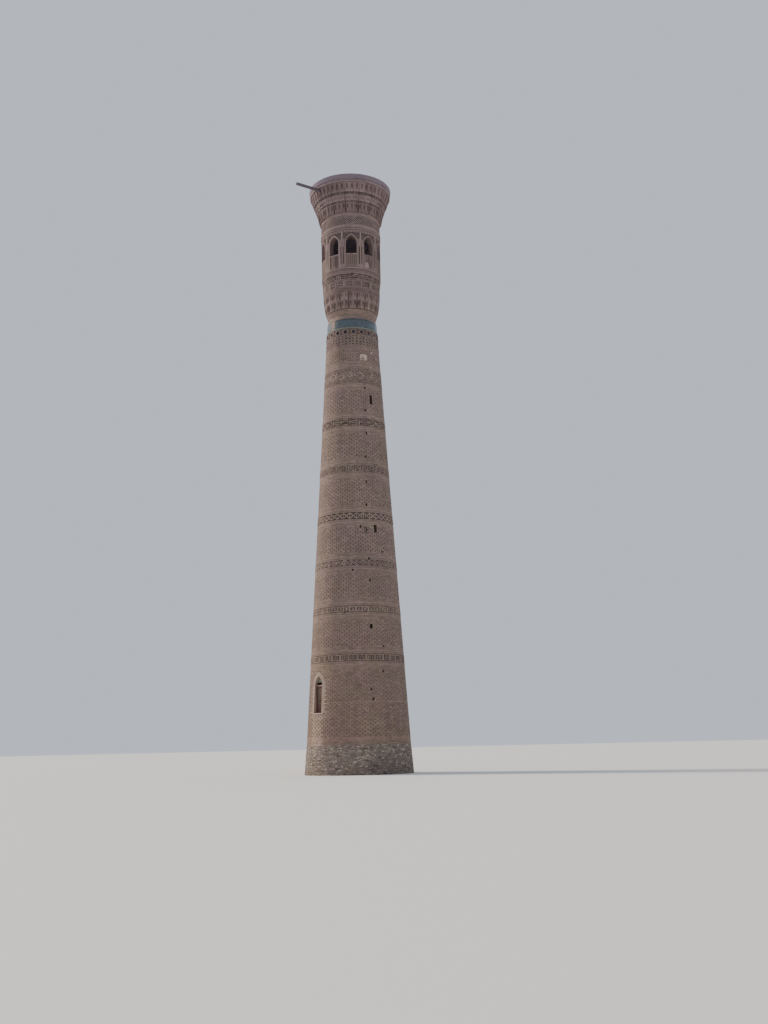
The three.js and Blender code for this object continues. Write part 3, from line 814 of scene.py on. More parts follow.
# %% Patterns from lines
STRIP_WIDE = 0.056
STRIP_BACK = -0.03
STRIP_FACE = 0.024
STRIP_UNEVEN = 0.002
STRIP_SPREAD = 0.12
HOOKS = [[(0.08, 0.04), (0.08, 0.96), (0.62, 0.96), (0.62, 0.34), (0.34, 0.34), (0.34, 0.66)],
         [(0.86, 0.96), (0.86, 0.04), (0.34, 0.04)]]
KNOTS = [[(0.0, 0.08), (0.30, 0.08), (0.70, 0.92), (1.0, 0.92)],
         [(0.0, 0.92), (0.30, 0.92), (0.70, 0.08), (1.0, 0.08)],
         [(-0.16, 0.5), (0.0, 0.72), (0.16, 0.5), (0.0, 0.28), (-0.16, 0.5)],
         [(0.5, 0.80), (0.5, 1.0)], [(0.5, 0.0), (0.5, 0.20)]]
STARS = [[(0.16, 0.16), (0.84, 0.16), (0.84, 0.84), (0.16, 0.84), (0.16, 0.16)],
         [(0.5, 0.0), (1.0, 0.5), (0.5, 1.0), (0.0, 0.5), (0.5, 0.0)],
         [(0.5, 0.36), (0.5, 0.64)]]
BRACKETS = [[(0.40, 0.94), (0.06, 0.94), (0.06, 0.06), (0.40, 0.06)],
            [(0.60, 0.94), (0.94, 0.94), (0.94, 0.06), (0.60, 0.06)],
            [(0.5, 0.24), (0.5, 0.76)], [(0.28, 0.32), (0.28, 0.68)], [(0.72, 0.32), (0.72, 0.68)]]
OCTAGONS = [[(0.30, 0.02), (0.70, 0.02), (0.97, 0.30), (0.97, 0.70), (0.70, 0.98), (0.30, 0.98),
             (0.03, 0.70), (0.03, 0.30), (0.30, 0.02)],
            [(0.5, 0.26), (0.74, 0.5), (0.5, 0.74), (0.26, 0.5), (0.5, 0.26)]]
SHELVES = [[(0.05, 0.95), (0.60, 0.95), (0.60, 0.64), (0.05, 0.64)],
           [(0.05, 0.34), (0.60, 0.34), (0.60, 0.05), (0.05, 0.05)],
           [(0.84, 0.05), (0.84, 0.36)], [(0.84, 0.62), (0.84, 0.95)], [(0.72, 0.5), (1.04, 0.5)]]
LOZENGES = [[(0.0, 0.5), (0.5, 1.0), (1.0, 0.5), (0.5, 0.0), (0.0, 0.5)]]


def repeated(lines, count, low, high, turn=0.0):
    """The straight pieces of every line of a unit, set count times round the tower."""
    cell = np.array([[*start, *end] for line in lines for start, end in zip(line[:-1], line[1:])])
    segments = np.tile(cell, (count, 1))
    unit = np.repeat(np.arange(count), len(cell))[:, None]
    segments[:, 0::2] = turn + (segments[:, 0::2] + unit) * TAU / count
    segments[:, 1::2] = low + (high - low) * segments[:, 1::2]
    return segments


def carving(lines, count, low, high, wall, wide=STRIP_WIDE, face=STRIP_FACE, turn=0.0, middle=0.56):
    """Strips for one pattern. Faces differ by a millimetre or two, as cut bricks do."""
    segments = repeated(lines, count, low, high, turn)
    stands = face + chance.uniform(-STRIP_UNEVEN, STRIP_UNEVEN, len(segments))
    return strokes(segments, wall, wide, STRIP_BACK, stands, fired_tones(len(segments), middle, STRIP_SPREAD))


def border(height, wall, tall=0.040, face=STRIP_FACE, middle=0.55):
    return ring_line(height, wall, tall=tall, proud=face, middle=middle)


# %% [markdown]
# Seven bands ring the shaft. The lowest six are about half a metre high with one row of carving, and the
# seventh is twice that, with large stars between two rows of lozenges. The number of units comes from
# the band's girth, so that a unit stays about as wide as it is high.

# %% Carved bands of the shaft
BORDER = 0.045
BORDER_GAP = 0.012
BAND_PATTERNS = [BRACKETS + [[(0.5, 0.94), (0.5, 1.0)]], KNOTS, OCTAGONS, STARS, HOOKS, SHELVES]
BAND_ASPECT = [1.25, 1.0, 1.05, 1.0, 1.1, 1.15]


def framed(low, high):
    """The two borders that close a band."""
    return [border(low + BORDER / 2, shaft), border(high - BORDER / 2, shaft)]


for number, (pattern, aspect) in enumerate(zip(BAND_PATTERNS, BAND_ASPECT), 1):
    low, high = span(f"carved_band_{number}")
    foot, head = low + BORDER, high - BORDER
    count = round(TAU * shaft(0.5 * (low + high)) / (aspect * (head - foot)))
    inner_foot, inner_head = foot + STRIP_WIDE / 2 + BORDER_GAP, head - STRIP_WIDE / 2 - BORDER_GAP
    parts = framed(low, high) + [carving(pattern, count, inner_foot, inner_head, shaft)]
    add_piece(f"carving_{number}", parts, carved)

LOZENGE_ROW, LOZENGE_LONG = 0.17, 0.21
LOZENGE_INSET, LOZENGE_STRIP = 0.03, 0.034
STAR_INSET, EYE_INSET = 0.05, 0.12
BETWEEN_STARS = [[(0.0, 0.06), (0.0, 0.30)], [(0.0, 0.70), (0.0, 0.94)]]
low, high = span("carved_band_7")
small_count = round(TAU * shaft(high) / LOZENGE_LONG)
parts = framed(low, high)
parts.append(border(0.5 * (low + high), shaft, tall=high - low - 2 * BORDER, face=0.006, middle=0.24))
for foot in (low + BORDER, high - BORDER - LOZENGE_ROW):
    parts.append(carving(LOZENGES, small_count, foot + LOZENGE_INSET, foot + LOZENGE_ROW - LOZENGE_INSET,
                         shaft, wide=LOZENGE_STRIP))
foot, head = low + BORDER + LOZENGE_ROW, high - BORDER - LOZENGE_ROW
parts += [border(foot + 0.02, shaft, tall=0.034), border(head - 0.02, shaft, tall=0.034)]
large_count = round(TAU * shaft(low) / (head - foot))
for pattern, inset in ((STARS[:2], STAR_INSET), (OCTAGONS[1:], EYE_INSET), (BETWEEN_STARS, 0.0)):
    parts.append(carving(pattern, large_count, foot + inset, head - inset, shaft))
add_piece("carving_7", parts, carved)

# %% [markdown]
# Above the shaft come three thin bands. The first is a lattice of crossing strips between two light
# lines. The second has twenty dark roundels, each in a plate with an eight-sided hole, and a small pale
# blue tile under each one. A plate is cut into quadrilaterals between the points of its outer edge and
# the points of its hole, so it is a ring of slabs.

# %% Lattice band and roundels
LATTICE_LINES = ((0.035, 0.055, 0.016, 0.5), (0.095, 0.045, 0.026, 0.6))
LATTICE_ROWS = 3
LATTICE_FOOT, LATTICE_MARGINS = 0.14, 0.20
LATTICE_LONG = 0.24
LATTICE_DOT = [[(0.5, 0.42), (0.5, 0.58)]]
ROUNDELS = 20
ROUNDEL_TURN = math.radians(1.7)
HOLE_WIDE, HOLE_TALL = 0.25, 0.27
EIGHT = np.array([(1, 0), (1, 1), (0, 1), (-1, 1), (-1, 0), (-1, -1), (0, -1), (1, -1)], float)
CORNERS_IN = 0.72
LEDGE = 0.13
PLATE_GAP = 0.012
FRAME_SHARE, FRAME_TUCK, PLUG_SHARE = 1.24, 0.995, 1.1
FRAME_FACE, PLATE_FACE, PLUG_FACE = 0.045, 0.028, 0.004
BLUE_TILE_UP, BLUE_TILE_LONG, BLUE_TILE_TALL = 0.045, 0.09, 0.045


def plates(azimuth, height, wide, tall, hole, wall, back, face, tone):
    """Rectangles with a hole round each middle. hole is (points, 2): its edge, anticlockwise, in metres,
    starting at the right. The outer edge takes as many points, pushed out to the rectangle."""
    reach = np.maximum(np.abs(hole[:, 0]) / (wide / 2), np.abs(hole[:, 1]) / (tall / 2))[:, None]
    cell = ring_cells(hole / reach, hole)
    middle = np.repeat(np.stack([azimuth, height], -1), len(cell), axis=0)[:, None]
    scale = np.stack([wall(middle[..., 1]), np.ones_like(middle[..., 1])], -1)
    outline = middle + np.tile(cell, (len(azimuth), 1, 1)) / scale
    return slabs(outline, wall, back, face, for_cells(tone, len(azimuth), len(cell)))


low, high = span("lattice_band")
count = round(TAU * shaft(low) / LATTICE_LONG)
parts = ring_lines(low, shaft, LATTICE_LINES)
parts.append(border(high - 0.02, shaft, tall=0.04, middle=0.7))
lattice_rise = (high - low - LATTICE_MARGINS) / LATTICE_ROWS
for row in range(LATTICE_ROWS):
    foot = low + LATTICE_FOOT + lattice_rise * row
    for pattern, wide, face in ((LOZENGES, 0.044, STRIP_FACE), (LATTICE_DOT, 0.06, 0.015)):
        parts.append(carving(pattern, count, foot, foot + lattice_rise, shaft, wide=wide, face=face))
add_piece("lattice_carving", parts, carved)

low, high = span("roundel_band")
azimuth = np.arange(ROUNDELS) * TAU / ROUNDELS + ROUNDEL_TURN
height = np.full(ROUNDELS, 0.5 * (low + high - LEDGE))
middles = np.stack([azimuth, height], -1)
cell_wide, cell_tall = TAU * shaft(low) / ROUNDELS, high - LEDGE - low
to_azimuth = np.array([shaft(height[0]), 1.0])
hole = EIGHT * np.array([HOLE_WIDE / 2, HOLE_TALL / 2]) * np.where(EIGHT.all(1), CORNERS_IN, 1.0)[:, None]
wide_hole = hole * FRAME_SHARE
frame_tones = fired_tones(ROUNDELS, 0.62, 0.08)
parts = [plates(azimuth, height, cell_wide - PLATE_GAP, cell_tall - PLATE_GAP, wide_hole, shaft, STRIP_BACK,
                PLATE_FACE, fired_tones(ROUNDELS, 0.22, 0.06))]
rims = set_at(middles, ring_cells(wide_hole * FRAME_TUCK, hole) / to_azimuth)
parts.append(slabs(rims, shaft, STRIP_BACK, FRAME_FACE, for_cells(frame_tones, ROUNDELS, len(hole))))
add_piece("roundel_frames", parts, moulding)
parts = [border(high - LEDGE / 2 - 0.018, shaft, tall=0.075, face=0.040, middle=0.42)]
parts.append(border(high - 0.022, shaft, tall=0.038, face=0.030, middle=0.55))
add_piece("glaze_moulding", parts, plaster)

plugs = set_at(middles, (hole * PLUG_SHARE)[None] / to_azimuth)
parts = [slabs(plugs, shaft, -0.02, PLUG_FACE, fired_tones(ROUNDELS, 0.5, 0.2))]
add_piece("roundel_shadows", parts, dim_hollow)
tiles = bricks(azimuth, height - cell_tall / 2 + BLUE_TILE_UP, BLUE_TILE_LONG, BLUE_TILE_TALL, shaft,
               STRIP_BACK, 0.038, 0.85)
add_piece("roundel_tiles", [tiles], glaze)

# %% [markdown]
# The turquoise band is tilework: five rows of square tiles, dark teal with brighter ones set in a
# regular figure, and duller along the top, where the glaze has gone. Near the doorway's side a piece is
# missing, and there the pale plaster bedding shows.

# %% Glazed tiles and the missing piece
MISSING_AZIMUTH = math.radians(4.0)
MISSING_HALF = 0.15
RAGGED = 0.02
TILE_ROWS = 5
TILE_MARGIN, TILE_JOINT = 0.012, 0.008
BRIGHT_TONE, TEAL_TONE, TOP_ROW_LOSS = 0.65, 0.41, 0.30
low, high = span("glazed_band")
rows, rise = courses(low + TILE_MARGIN, high - TILE_MARGIN, (high - low) / TILE_ROWS)
count = 12 * round(TAU * shaft(low) / rise / 12)
row, column = every_pair(TILE_ROWS, count)
azimuth, height = column * TAU / count, rows[row]
bright = np.abs((column % 4) - 2) + np.abs(row - 2) == 2
tone = np.where(bright, BRIGHT_TONE, TEAL_TONE) - np.where(row == TILE_ROWS - 1, TOP_ROW_LOSS, 0.0)
tone = np.clip(tone + chance.normal(0.0, 0.10, len(row)), 0.0, 1.0)
kept = apart(azimuth, MISSING_AZIMUTH) * shaft(low) > MISSING_HALF + RAGGED * np.sin(9.0 * height)
stands = 0.010 + chance.uniform(-0.002, 0.002, kept.sum())
tiles = bricks(azimuth[kept], height[kept], TAU * shaft(low) / count - TILE_JOINT, rise - TILE_JOINT, shaft,
               STRIP_BACK, stands, tone[kept])
add_piece("turquoise_tiles", [tiles], glaze)
bedding = bricks(MISSING_AZIMUTH, 0.5 * (low + high), 2 * MISSING_HALF + RAGGED, high - low - 0.02, shaft,
                 STRIP_BACK, 0.005, 0.25)
add_piece("tile_bedding", [bedding], pale)

# %% [markdown]
# Stalactite rows carry everything that overhangs. A row is a ring of small niches: each has a pointed
# hollow that stays back, between ribs that curve forward from its foot. So the radius is a function of
# the place in the niche, u from -1 to 1 across, and the share t of the row's height. Masons corbel such
# niches out course by course, so t goes up in steps, and every course keeps one radius.

# %% Stalactite rows
NICHE_COLUMNS = 10
SLOT_WIDE = 0.030
ARCH_BLUR = 0.10
RIB_POWER, HOLLOW_POWER = 0.7, 2.5
NICHE_SPREAD, COURSE_SPREAD = 0.06, 0.03
FOOT_SHARE = 0.2
UNDERSIDE_PAINTED_SHADE = 0.05


def niche_row(low, high, foot, head, bore, units, niches, slot_deep, hollow_deep, turn=0.0, step=0.06,
              arch=0.97, rib_wide=0.34, middle=0.5, head_dark=0.34, foot_dark=0.0):
    """foot and head are the outer radii at both ends, and the CAD row's own. A unit ends in a deep slot,
    and holds a few niches, with ribs rib_wide of a niche's width between them.
      g(u, t) = t ^ 0.7 on a rib, and t ^ 2.5 in a niche, below its pointed arch
      r = foot + (head - foot) g - hollow_deep (0.3 + 0.7 t) in the niche - slot_deep at the unit's ends
    The tone is painted shade: lighter low in a row, darker towards the heads, in the slots, at the foot and
    underneath."""
    count = max(2, round((high - low) / step))
    columns = units * niches * NICHE_COLUMNS
    azimuth = turn + np.arange(columns) * TAU / columns
    across = 2.0 * ((np.arange(columns) + 0.5) / NICHE_COLUMNS % 1.0) - 1.0
    unit_place = (np.arange(columns) + 0.5) / (niches * NICHE_COLUMNS) % 1.0
    to_slot = np.minimum(unit_place, 1.0 - unit_place) * TAU * foot / units
    slot = np.exp(-(to_slot / SLOT_WIDE) ** 2)
    inner = np.sqrt(np.clip((1.0 - rib_wide - np.abs(across)) / (1.0 - rib_wide), 0.0, 1.0))
    uneven = np.repeat(chance.normal(0.0, NICHE_SPREAD, units * niches), NICHE_COLUMNS)
    levels, radii, tones = [], [], []
    for course in range(count):
        share = (course + 0.5) / count
        inside = np.clip((arch * inner - share) / ARCH_BLUR, 0.0, 1.0)
        out = share ** RIB_POWER * (1.0 - inside) + inside * share ** HOLLOW_POWER
        sunk = hollow_deep * inside * inner * (0.3 + 0.7 * share)
        cut = slot * min(1.0, 3.0 * (1.0 - share))
        # Painted shade in the tone: lighter low, darker under the arch heads and in the slots.
        tone = middle + uneven + 0.14 * (0.5 - share) - head_dark * share ** 2 * inside - 0.34 * cut
        tone = tone - foot_dark * (share < FOOT_SHARE)
        for level in (course / count, (course + 1) / count):
            levels.append(low + (high - low) * level)
            radii.append(foot + (head - foot) * out - sunk - slot_deep * cut)
            tones.append(tone + chance.normal(0.0, COURSE_SPREAD, columns))
    # The bore's foot gets a nearly black tone: painted shade on the row's underside.
    levels += [high, low]
    radii += [np.full(columns, bore)] * 2
    tones += [np.full(columns, middle), np.full(columns, UNDERSIDE_PAINTED_SHADE)]
    size = len(levels)
    points = round_place(np.repeat(azimuth[:, None], size, 1), np.array(radii).T, np.array(levels))
    column, level = every_pair(columns, size)
    beside, above = (column + 1) % columns, (level + 1) % size
    faces = np.stack([column, beside, beside, column], -1) * size + np.stack([level, level, above, above], -1)
    return points.reshape(-1, 3), [faces], np.clip(np.array(tones).T, 0.0, 1.0).ravel()


def replace_row(node, units, niches, **looks):
    """The pleated CAD ring gives its place to a row of niches with the same levels and radii."""
    low, high = span(node)
    ring = np.array([vertex.co[:] for vertex in bpy.data.objects[node].data.vertices])
    out = np.hypot(ring[:, 0], ring[:, 1])
    foot, head = [out[np.abs(ring[:, 2] - end) < 1e-4].max() for end in (low, high)]
    bore = out[np.abs(ring[:, 2] - low) < 1e-4].min()
    parts = [niche_row(low, high, foot, head, bore, units, niches, **looks)]
    piece = add_piece(f"niches_{node}", parts, carved)
    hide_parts(node)


GALLERY_TURN = math.radians(10.7)
GALLERY_UNITS = 20
replace_row("corbel_row_lower", GALLERY_UNITS, 2, slot_deep=0.10, hollow_deep=0.035, turn=GALLERY_TURN,
            middle=0.50)
replace_row("corbel_row_upper", GALLERY_UNITS, 2, slot_deep=0.09, hollow_deep=0.035, turn=GALLERY_TURN,
            middle=0.46)

# %% [markdown]
# The neck under the stalactites is plain brick. The gallery over them has a plain zone, a band of angular
# brackets, and a taller band of long bars between groups of short uprights, then fine ring mouldings.

# %% Neck and gallery drum
NECK_LOW, NECK_HIGH = span("neck_ring")
NECK_FLARE = 29.30
NECK_RADII = (shaft(NECK_LOW), 1.535, 1.690)
NECK_SHADOW_BAND = 0.07


def neck_wall(height):
    return np.interp(height, (NECK_LOW, NECK_FLARE, NECK_HIGH), NECK_RADII)


parts = [plain_courses(NECK_LOW, NECK_HIGH - NECK_SHADOW_BAND, neck_wall, middle=0.45)]
# A nearly flush, nearly black course at the neck's top: painted shadow under the stalactites' overhang.
parts.append(border(NECK_HIGH - NECK_SHADOW_BAND / 2, neck_wall, tall=0.06, face=0.004, middle=0.12))
add_piece("brickwork_neck", parts, facing)


def level_bar(start, end, height):
    """A level line in short pieces, so that each one stays close to the round wall."""
    return [(place, height) for place in np.linspace(start, end, math.ceil((end - start) / 0.12) + 1)]


BARS = [level_bar(0.45, 0.96, height) for height in (0.10, 0.37, 0.63)]
BARS += [level_bar(0.03, 0.96, 0.92), level_bar(0.03, 0.39, 0.10), level_bar(0.03, 0.39, 0.50)]
SHORT_UPRIGHTS = [[(place, 0.13), (place, 0.47)] for place in (0.03, 0.15, 0.27, 0.39)]
SHORT_UPRIGHTS += [level_bar(0.14, 0.38, 0.71)]
BARS_TURN = math.radians(16.8)
KEYS = [[(0.05, 0.08), (0.05, 0.92), (0.74, 0.92), (0.74, 0.08), (0.05, 0.08)], [(0.19, 0.50), (0.60, 0.50)],
        [(0.83, 0.04), (0.83, 0.96)], [(0.93, 0.04), (0.93, 0.96)]]
KEY_TURN = math.radians(5.6)
GALLERY_WAIST, GALLERY_HEAD = 31.45, 32.10
GALLERY_RADII = (1.870, 1.930)
PLAIN_TOP, KEYS_FOOT, KEYS_HEAD, BARS_FOOT, BARS_MARGIN = 0.31, 0.37, 0.75, 0.82, 0.04
DRUM_LINE, KEY_GROUND, UNDER_BARS, OVER_BARS = 0.33, 0.56, 0.785, 0.015


def gallery_wall(height):
    return np.interp(height, (GALLERY_WAIST, GALLERY_HEAD), GALLERY_RADII)


low, high = span("gallery_drum")
parts = [plain_courses(low, low + PLAIN_TOP, gallery_wall, middle=0.31, spread=0.06)]
add_piece("brickwork_gallery", parts, facing)
parts = [border(low + DRUM_LINE, gallery_wall, tall=0.035, middle=0.62)]
parts.append(carving(KEYS, 20, low + KEYS_FOOT, low + KEYS_HEAD, gallery_wall, wide=0.050, turn=KEY_TURN,
                     middle=0.45))
parts.append(border(low + KEY_GROUND, gallery_wall, tall=0.34, face=0.003, middle=0.19))
parts.append(border(low + UNDER_BARS, gallery_wall, tall=0.04, middle=0.60))
for pattern, wide, middle in ((BARS, 0.070, 0.46), (SHORT_UPRIGHTS, 0.055, 0.52)):
    parts.append(carving(pattern, 10, low + BARS_FOOT, high - BARS_MARGIN, gallery_wall, wide=wide,
                         turn=BARS_TURN, middle=middle))
parts.append(border(high - OVER_BARS, gallery_wall, tall=0.03, middle=0.72))
add_piece("carving_gallery", parts, carved)

LANTERN_FOOT_RADIUS, LANTERN_TOP_RADIUS = 1.945, 1.958
MOULDING_RINGS = ((0.03, 0.05, 0.030, 0.42), (0.10, 0.05, 0.012, 0.52), (0.165, 0.04, 0.034, 0.34),
                  (0.225, 0.05, 0.014, 0.26), (0.29, 0.05, 0.034, 0.66))
parts = ring_lines(span("gallery_moulding")[0], upright_wall(LANTERN_FOOT_RADIUS), MOULDING_RINGS)
add_piece("moulding_rings", parts, moulding)

# %% [markdown]
# The lantern has ten bays. Each one has a pointed arch with a thin pale moulding round it, which runs
# on down both sides of the fluted panel under the sill, and a pale upright between it and the next, with
# small carved crosses in each dark spandrel. Two bays are weathered: the panel at 18 degrees has lost its
# flutes but for a rest of diaper at the foot, and the one at 90 degrees was patched with pale plaster.

# %% Arches, frames and panels of the lantern
BAYS = 10
BAY_ANGLE = TAU / BAYS
LANTERN_RADIUS = 1.95
ARCH_HALF, ARCH_SPRING, ARCH_APEX = 0.36, 34.20, 34.73
BAY_LOW, PANEL_TOP = span("lantern_parapet")
BAY_TOP = span("lantern_bay_1")[1]
ARCH_EDGES = ((0.004, 0.004), (0.050, 0.062), (0.085, 0.105), (0.090, 0.115))
DAMAGED_BAY, PATCHED_BAY = 0, 2
GROUND_FACE = 0.003
bay_wall = cone(BAY_LOW, LANTERN_FOOT_RADIUS, BAY_TOP, LANTERN_TOP_RADIUS)


def both_sides(cells):
    """Cells to the right of a middle, and the same ones mirrored to its left."""
    cells = np.array(cells)
    return np.concatenate([cells, cells[:, ::-1] * np.array([-1.0, 1.0])])


def arch_band(azimuth, inner, outer, foot, wall, face, tone, back=STRIP_BACK):
    """A moulding between two arches that runs on down to the foot, both sides of each azimuth."""
    inner, outer = [np.concatenate([[[curve[0, 0], foot]], curve]) for curve in (inner, outer)]
    cell = both_sides(np.stack([inner[:-1], outer[:-1], outer[1:], inner[1:]], 1))
    scale = np.stack([wall(cell[..., 1]), np.ones(cell.shape[:2])], -1)
    outline = set_at(np.stack([azimuth, np.zeros(len(azimuth))], -1), cell / scale)
    return slabs(outline, wall, back, face, for_cells(tone, len(azimuth), len(cell)))


bays = (np.arange(BAYS) + 0.5) * BAY_ANGLE
renewed = np.arange(BAYS) == DAMAGED_BAY
opening, thin_edge, wide_edge, ground_edge = [pointed_arch(ARCH_HALF + aside, ARCH_SPRING, ARCH_APEX + up)
                                              for aside, up in ARCH_EDGES]
THIN_FACE, WIDE_FACE = 0.034, 0.016
band_foot = BAY_LOW + 0.02
parts = [arch_band(bays, opening, thin_edge, band_foot, bay_wall, THIN_FACE, np.where(renewed, 0.80, 0.60)),
         arch_band(bays, thin_edge, wide_edge, band_foot, bay_wall, WIDE_FACE, np.where(renewed, 0.78, 0.38))]


def uprights(aside, foot, head):
    """Upright lines at this distance to both sides of every bay's middle."""
    turn = (bays[:, None] + np.array([-aside, aside]) / LANTERN_RADIUS).reshape(-1, 1)
    return turn * [1, 0, 1, 0] + np.array([0.0, foot, 0.0, head])


INNER_ASIDE, OUTER_ASIDE = 0.477, 0.533
UPRIGHT_FOOT = BAY_LOW + 0.01
GROOVE_FOOT, GROOVE_TOP = BAY_LOW + 0.22, 33.94
SPANDREL_FOOT, SPANDREL_HEAD = 34.36, BAY_TOP - 0.16
UPRIGHTS = ((INNER_ASIDE, 0.052, UPRIGHT_FOOT, SPANDREL_FOOT, 0.030, 0.58),
            (OUTER_ASIDE, 0.054, GROOVE_TOP, SPANDREL_FOOT, 0.024, 0.50),
            (OUTER_ASIDE, 0.054, UPRIGHT_FOOT, GROOVE_FOOT, 0.026, 0.52))
for aside, wide, foot, head, face, middle in UPRIGHTS:
    stands = face + chance.uniform(-STRIP_UNEVEN, STRIP_UNEVEN, 2 * BAYS)
    parts.append(strokes(uprights(aside, foot, head), bay_wall, wide, STRIP_BACK, stands,
                         fired_tones(2 * BAYS, middle, 0.06)))
PILLAR_FOOT, PILLAR_STEP = BAY_LOW + 0.11, 0.21
PILLAR_WIDE, PILLAR_TALL, PILLAR_FACE = 0.105, 0.20, 0.034
pillar_rows = np.arange(PILLAR_FOOT, SPANDREL_HEAD, PILLAR_STEP)
pillar_tones = np.tile(np.where(pillar_rows > SPANDREL_FOOT, 0.68, 0.52), BAYS)
pillar_tones = pillar_tones + chance.normal(0.0, 0.05, len(pillar_tones))
parts.append(bricks(np.repeat(np.arange(BAYS) * BAY_ANGLE, len(pillar_rows)), np.tile(pillar_rows, BAYS),
                    PILLAR_WIDE, PILLAR_TALL, bay_wall, STRIP_BACK, PILLAR_FACE, pillar_tones))
BAY_RINGS = ((-0.04, 0.05, 0.030, 0.56), (-0.13, 0.035, 0.022, 0.50))
DENTILS, DENTIL_LONG, DENTIL_TALL, DENTIL_FACE = 60, 0.115, 0.05, 0.026
DENTIL_LEVEL = BAY_TOP - 0.09
parts += ring_lines(BAY_TOP, bay_wall, BAY_RINGS)
parts.append(bricks(np.arange(DENTILS) * TAU / DENTILS, DENTIL_LEVEL, DENTIL_LONG, DENTIL_TALL, bay_wall,
                    STRIP_BACK, DENTIL_FACE, 0.60))
add_piece("lantern_mouldings", parts, moulding)
GROOVE_WIDE, GROOVE_FACE = 0.052, 0.004
grooves = [strokes(uprights(OUTER_ASIDE, GROOVE_FOOT, GROOVE_TOP), bay_wall, GROOVE_WIDE, STRIP_BACK,
                   GROOVE_FACE, 0.10, side_shade=0.0)]
grooves.append(ring_line(DENTIL_LEVEL, bay_wall, tall=0.03, proud=0.006, middle=0.12))
add_piece("lantern_grooves", grooves, shadow_core)


def bay_ground(half, foot, head, tone, strips):
    """Upright strips side by side in every bay, each narrow enough to follow the round wall."""
    edge = np.linspace(-half, half, strips + 1)
    lower, upper = [np.stack([edge, level], -1) for level in (foot(np.abs(edge)), np.full(strips + 1, head))]
    cell = np.stack([lower[:-1], lower[1:], upper[1:], upper[:-1]], 1) / np.array([LANTERN_RADIUS, 1.0])
    outline = set_at(np.stack([bays, np.zeros(BAYS)], -1), cell)
    return slabs(outline, bay_wall, STRIP_BACK, GROUND_FACE, for_cells(tone, BAYS, strips))


SPANDREL_HALF, SPANDREL_STRIPS = 0.558, 18
arch_side = ground_edge[ground_edge[:, 1] > SPANDREL_FOOT][::-1]
spandrels = bay_ground(SPANDREL_HALF, lambda aside: np.interp(aside, arch_side[:, 0], arch_side[:, 1]),
                       SPANDREL_HEAD, 0.05, SPANDREL_STRIPS)
add_piece("spandrel_ground", [spandrels], carved)

CROSS_ARM, ARM_WIDE, ARM_FACE = 0.022, 0.020, 0.018
CROSS_PLACES = ((0.43, 34.82), (0.43, 34.68), (0.36, 34.75), (0.29, 34.82), (0.43, 34.54), (0.43, 34.40),
                (0.20, 34.84), (0.36, 34.62), (0.50, 34.75), (0.50, 34.61), (0.50, 34.47))
crosses = []
for side in (-1.0, 1.0):
    for x, z in CROSS_PLACES:
        for arm in (CROSS_ARM, -CROSS_ARM):
            crosses.append([side * (x - CROSS_ARM), z - arm, side * (x + CROSS_ARM), z + arm])
crosses = np.tile(np.array(crosses), (BAYS, 1))
crosses[:, 0::2] = crosses[:, 0::2] / LANTERN_RADIUS + np.repeat(bays, len(crosses) // BAYS)[:, None]
parts = [strokes(crosses, bay_wall, ARM_WIDE, STRIP_BACK, ARM_FACE, fired_tones(len(crosses), 0.5, 0.1))]
add_piece("lantern_carving", parts, carved)

PATCH_OUTLINE = np.array([(-0.13, -0.20), (0.07, -0.22), (0.16, -0.14), (0.14, 0.10), (0.05, 0.22),
                          (-0.08, 0.18), (-0.15, 0.02)])
PATCH_ASIDE, PATCH_UP, PATCH_FACE = -0.09, 0.18, 0.034
PANEL_HALF, PANEL_STRIPS = ARCH_HALF - 0.01, 12
PARAPET_SILL, SILL_STEP, SILL_STONE = PANEL_TOP - 0.045, 0.24, (0.234, 0.06)
SILL_PROUD, SILL_UNEVEN = 0.030, 0.004
FLUTES = 5
FLUTE_WIDE, FLUTE_FACE, REST_FACE = 0.088, 0.028, 0.016
STUMP_TALL, STUMP_FACE, STUMP_TONES = 0.28, 0.026, np.array([0.36, 0.22, 0.42])
DIAPERS, DIAPER_TALL, DIAPER_WIDE, DIAPER_FACE = 120, 0.13, 0.018, 0.02
flute_aside = (np.arange(FLUTES) + 0.5) / FLUTES * 2 * PANEL_HALF - PANEL_HALF
panel_low, panel_high = BAY_LOW + 0.06, PANEL_TOP - 0.11


def flutes(places, face, tone):
    return bricks(places, 0.5 * (panel_low + panel_high), FLUTE_WIDE, panel_high - panel_low, bay_wall,
                  STRIP_BACK, face, tone)


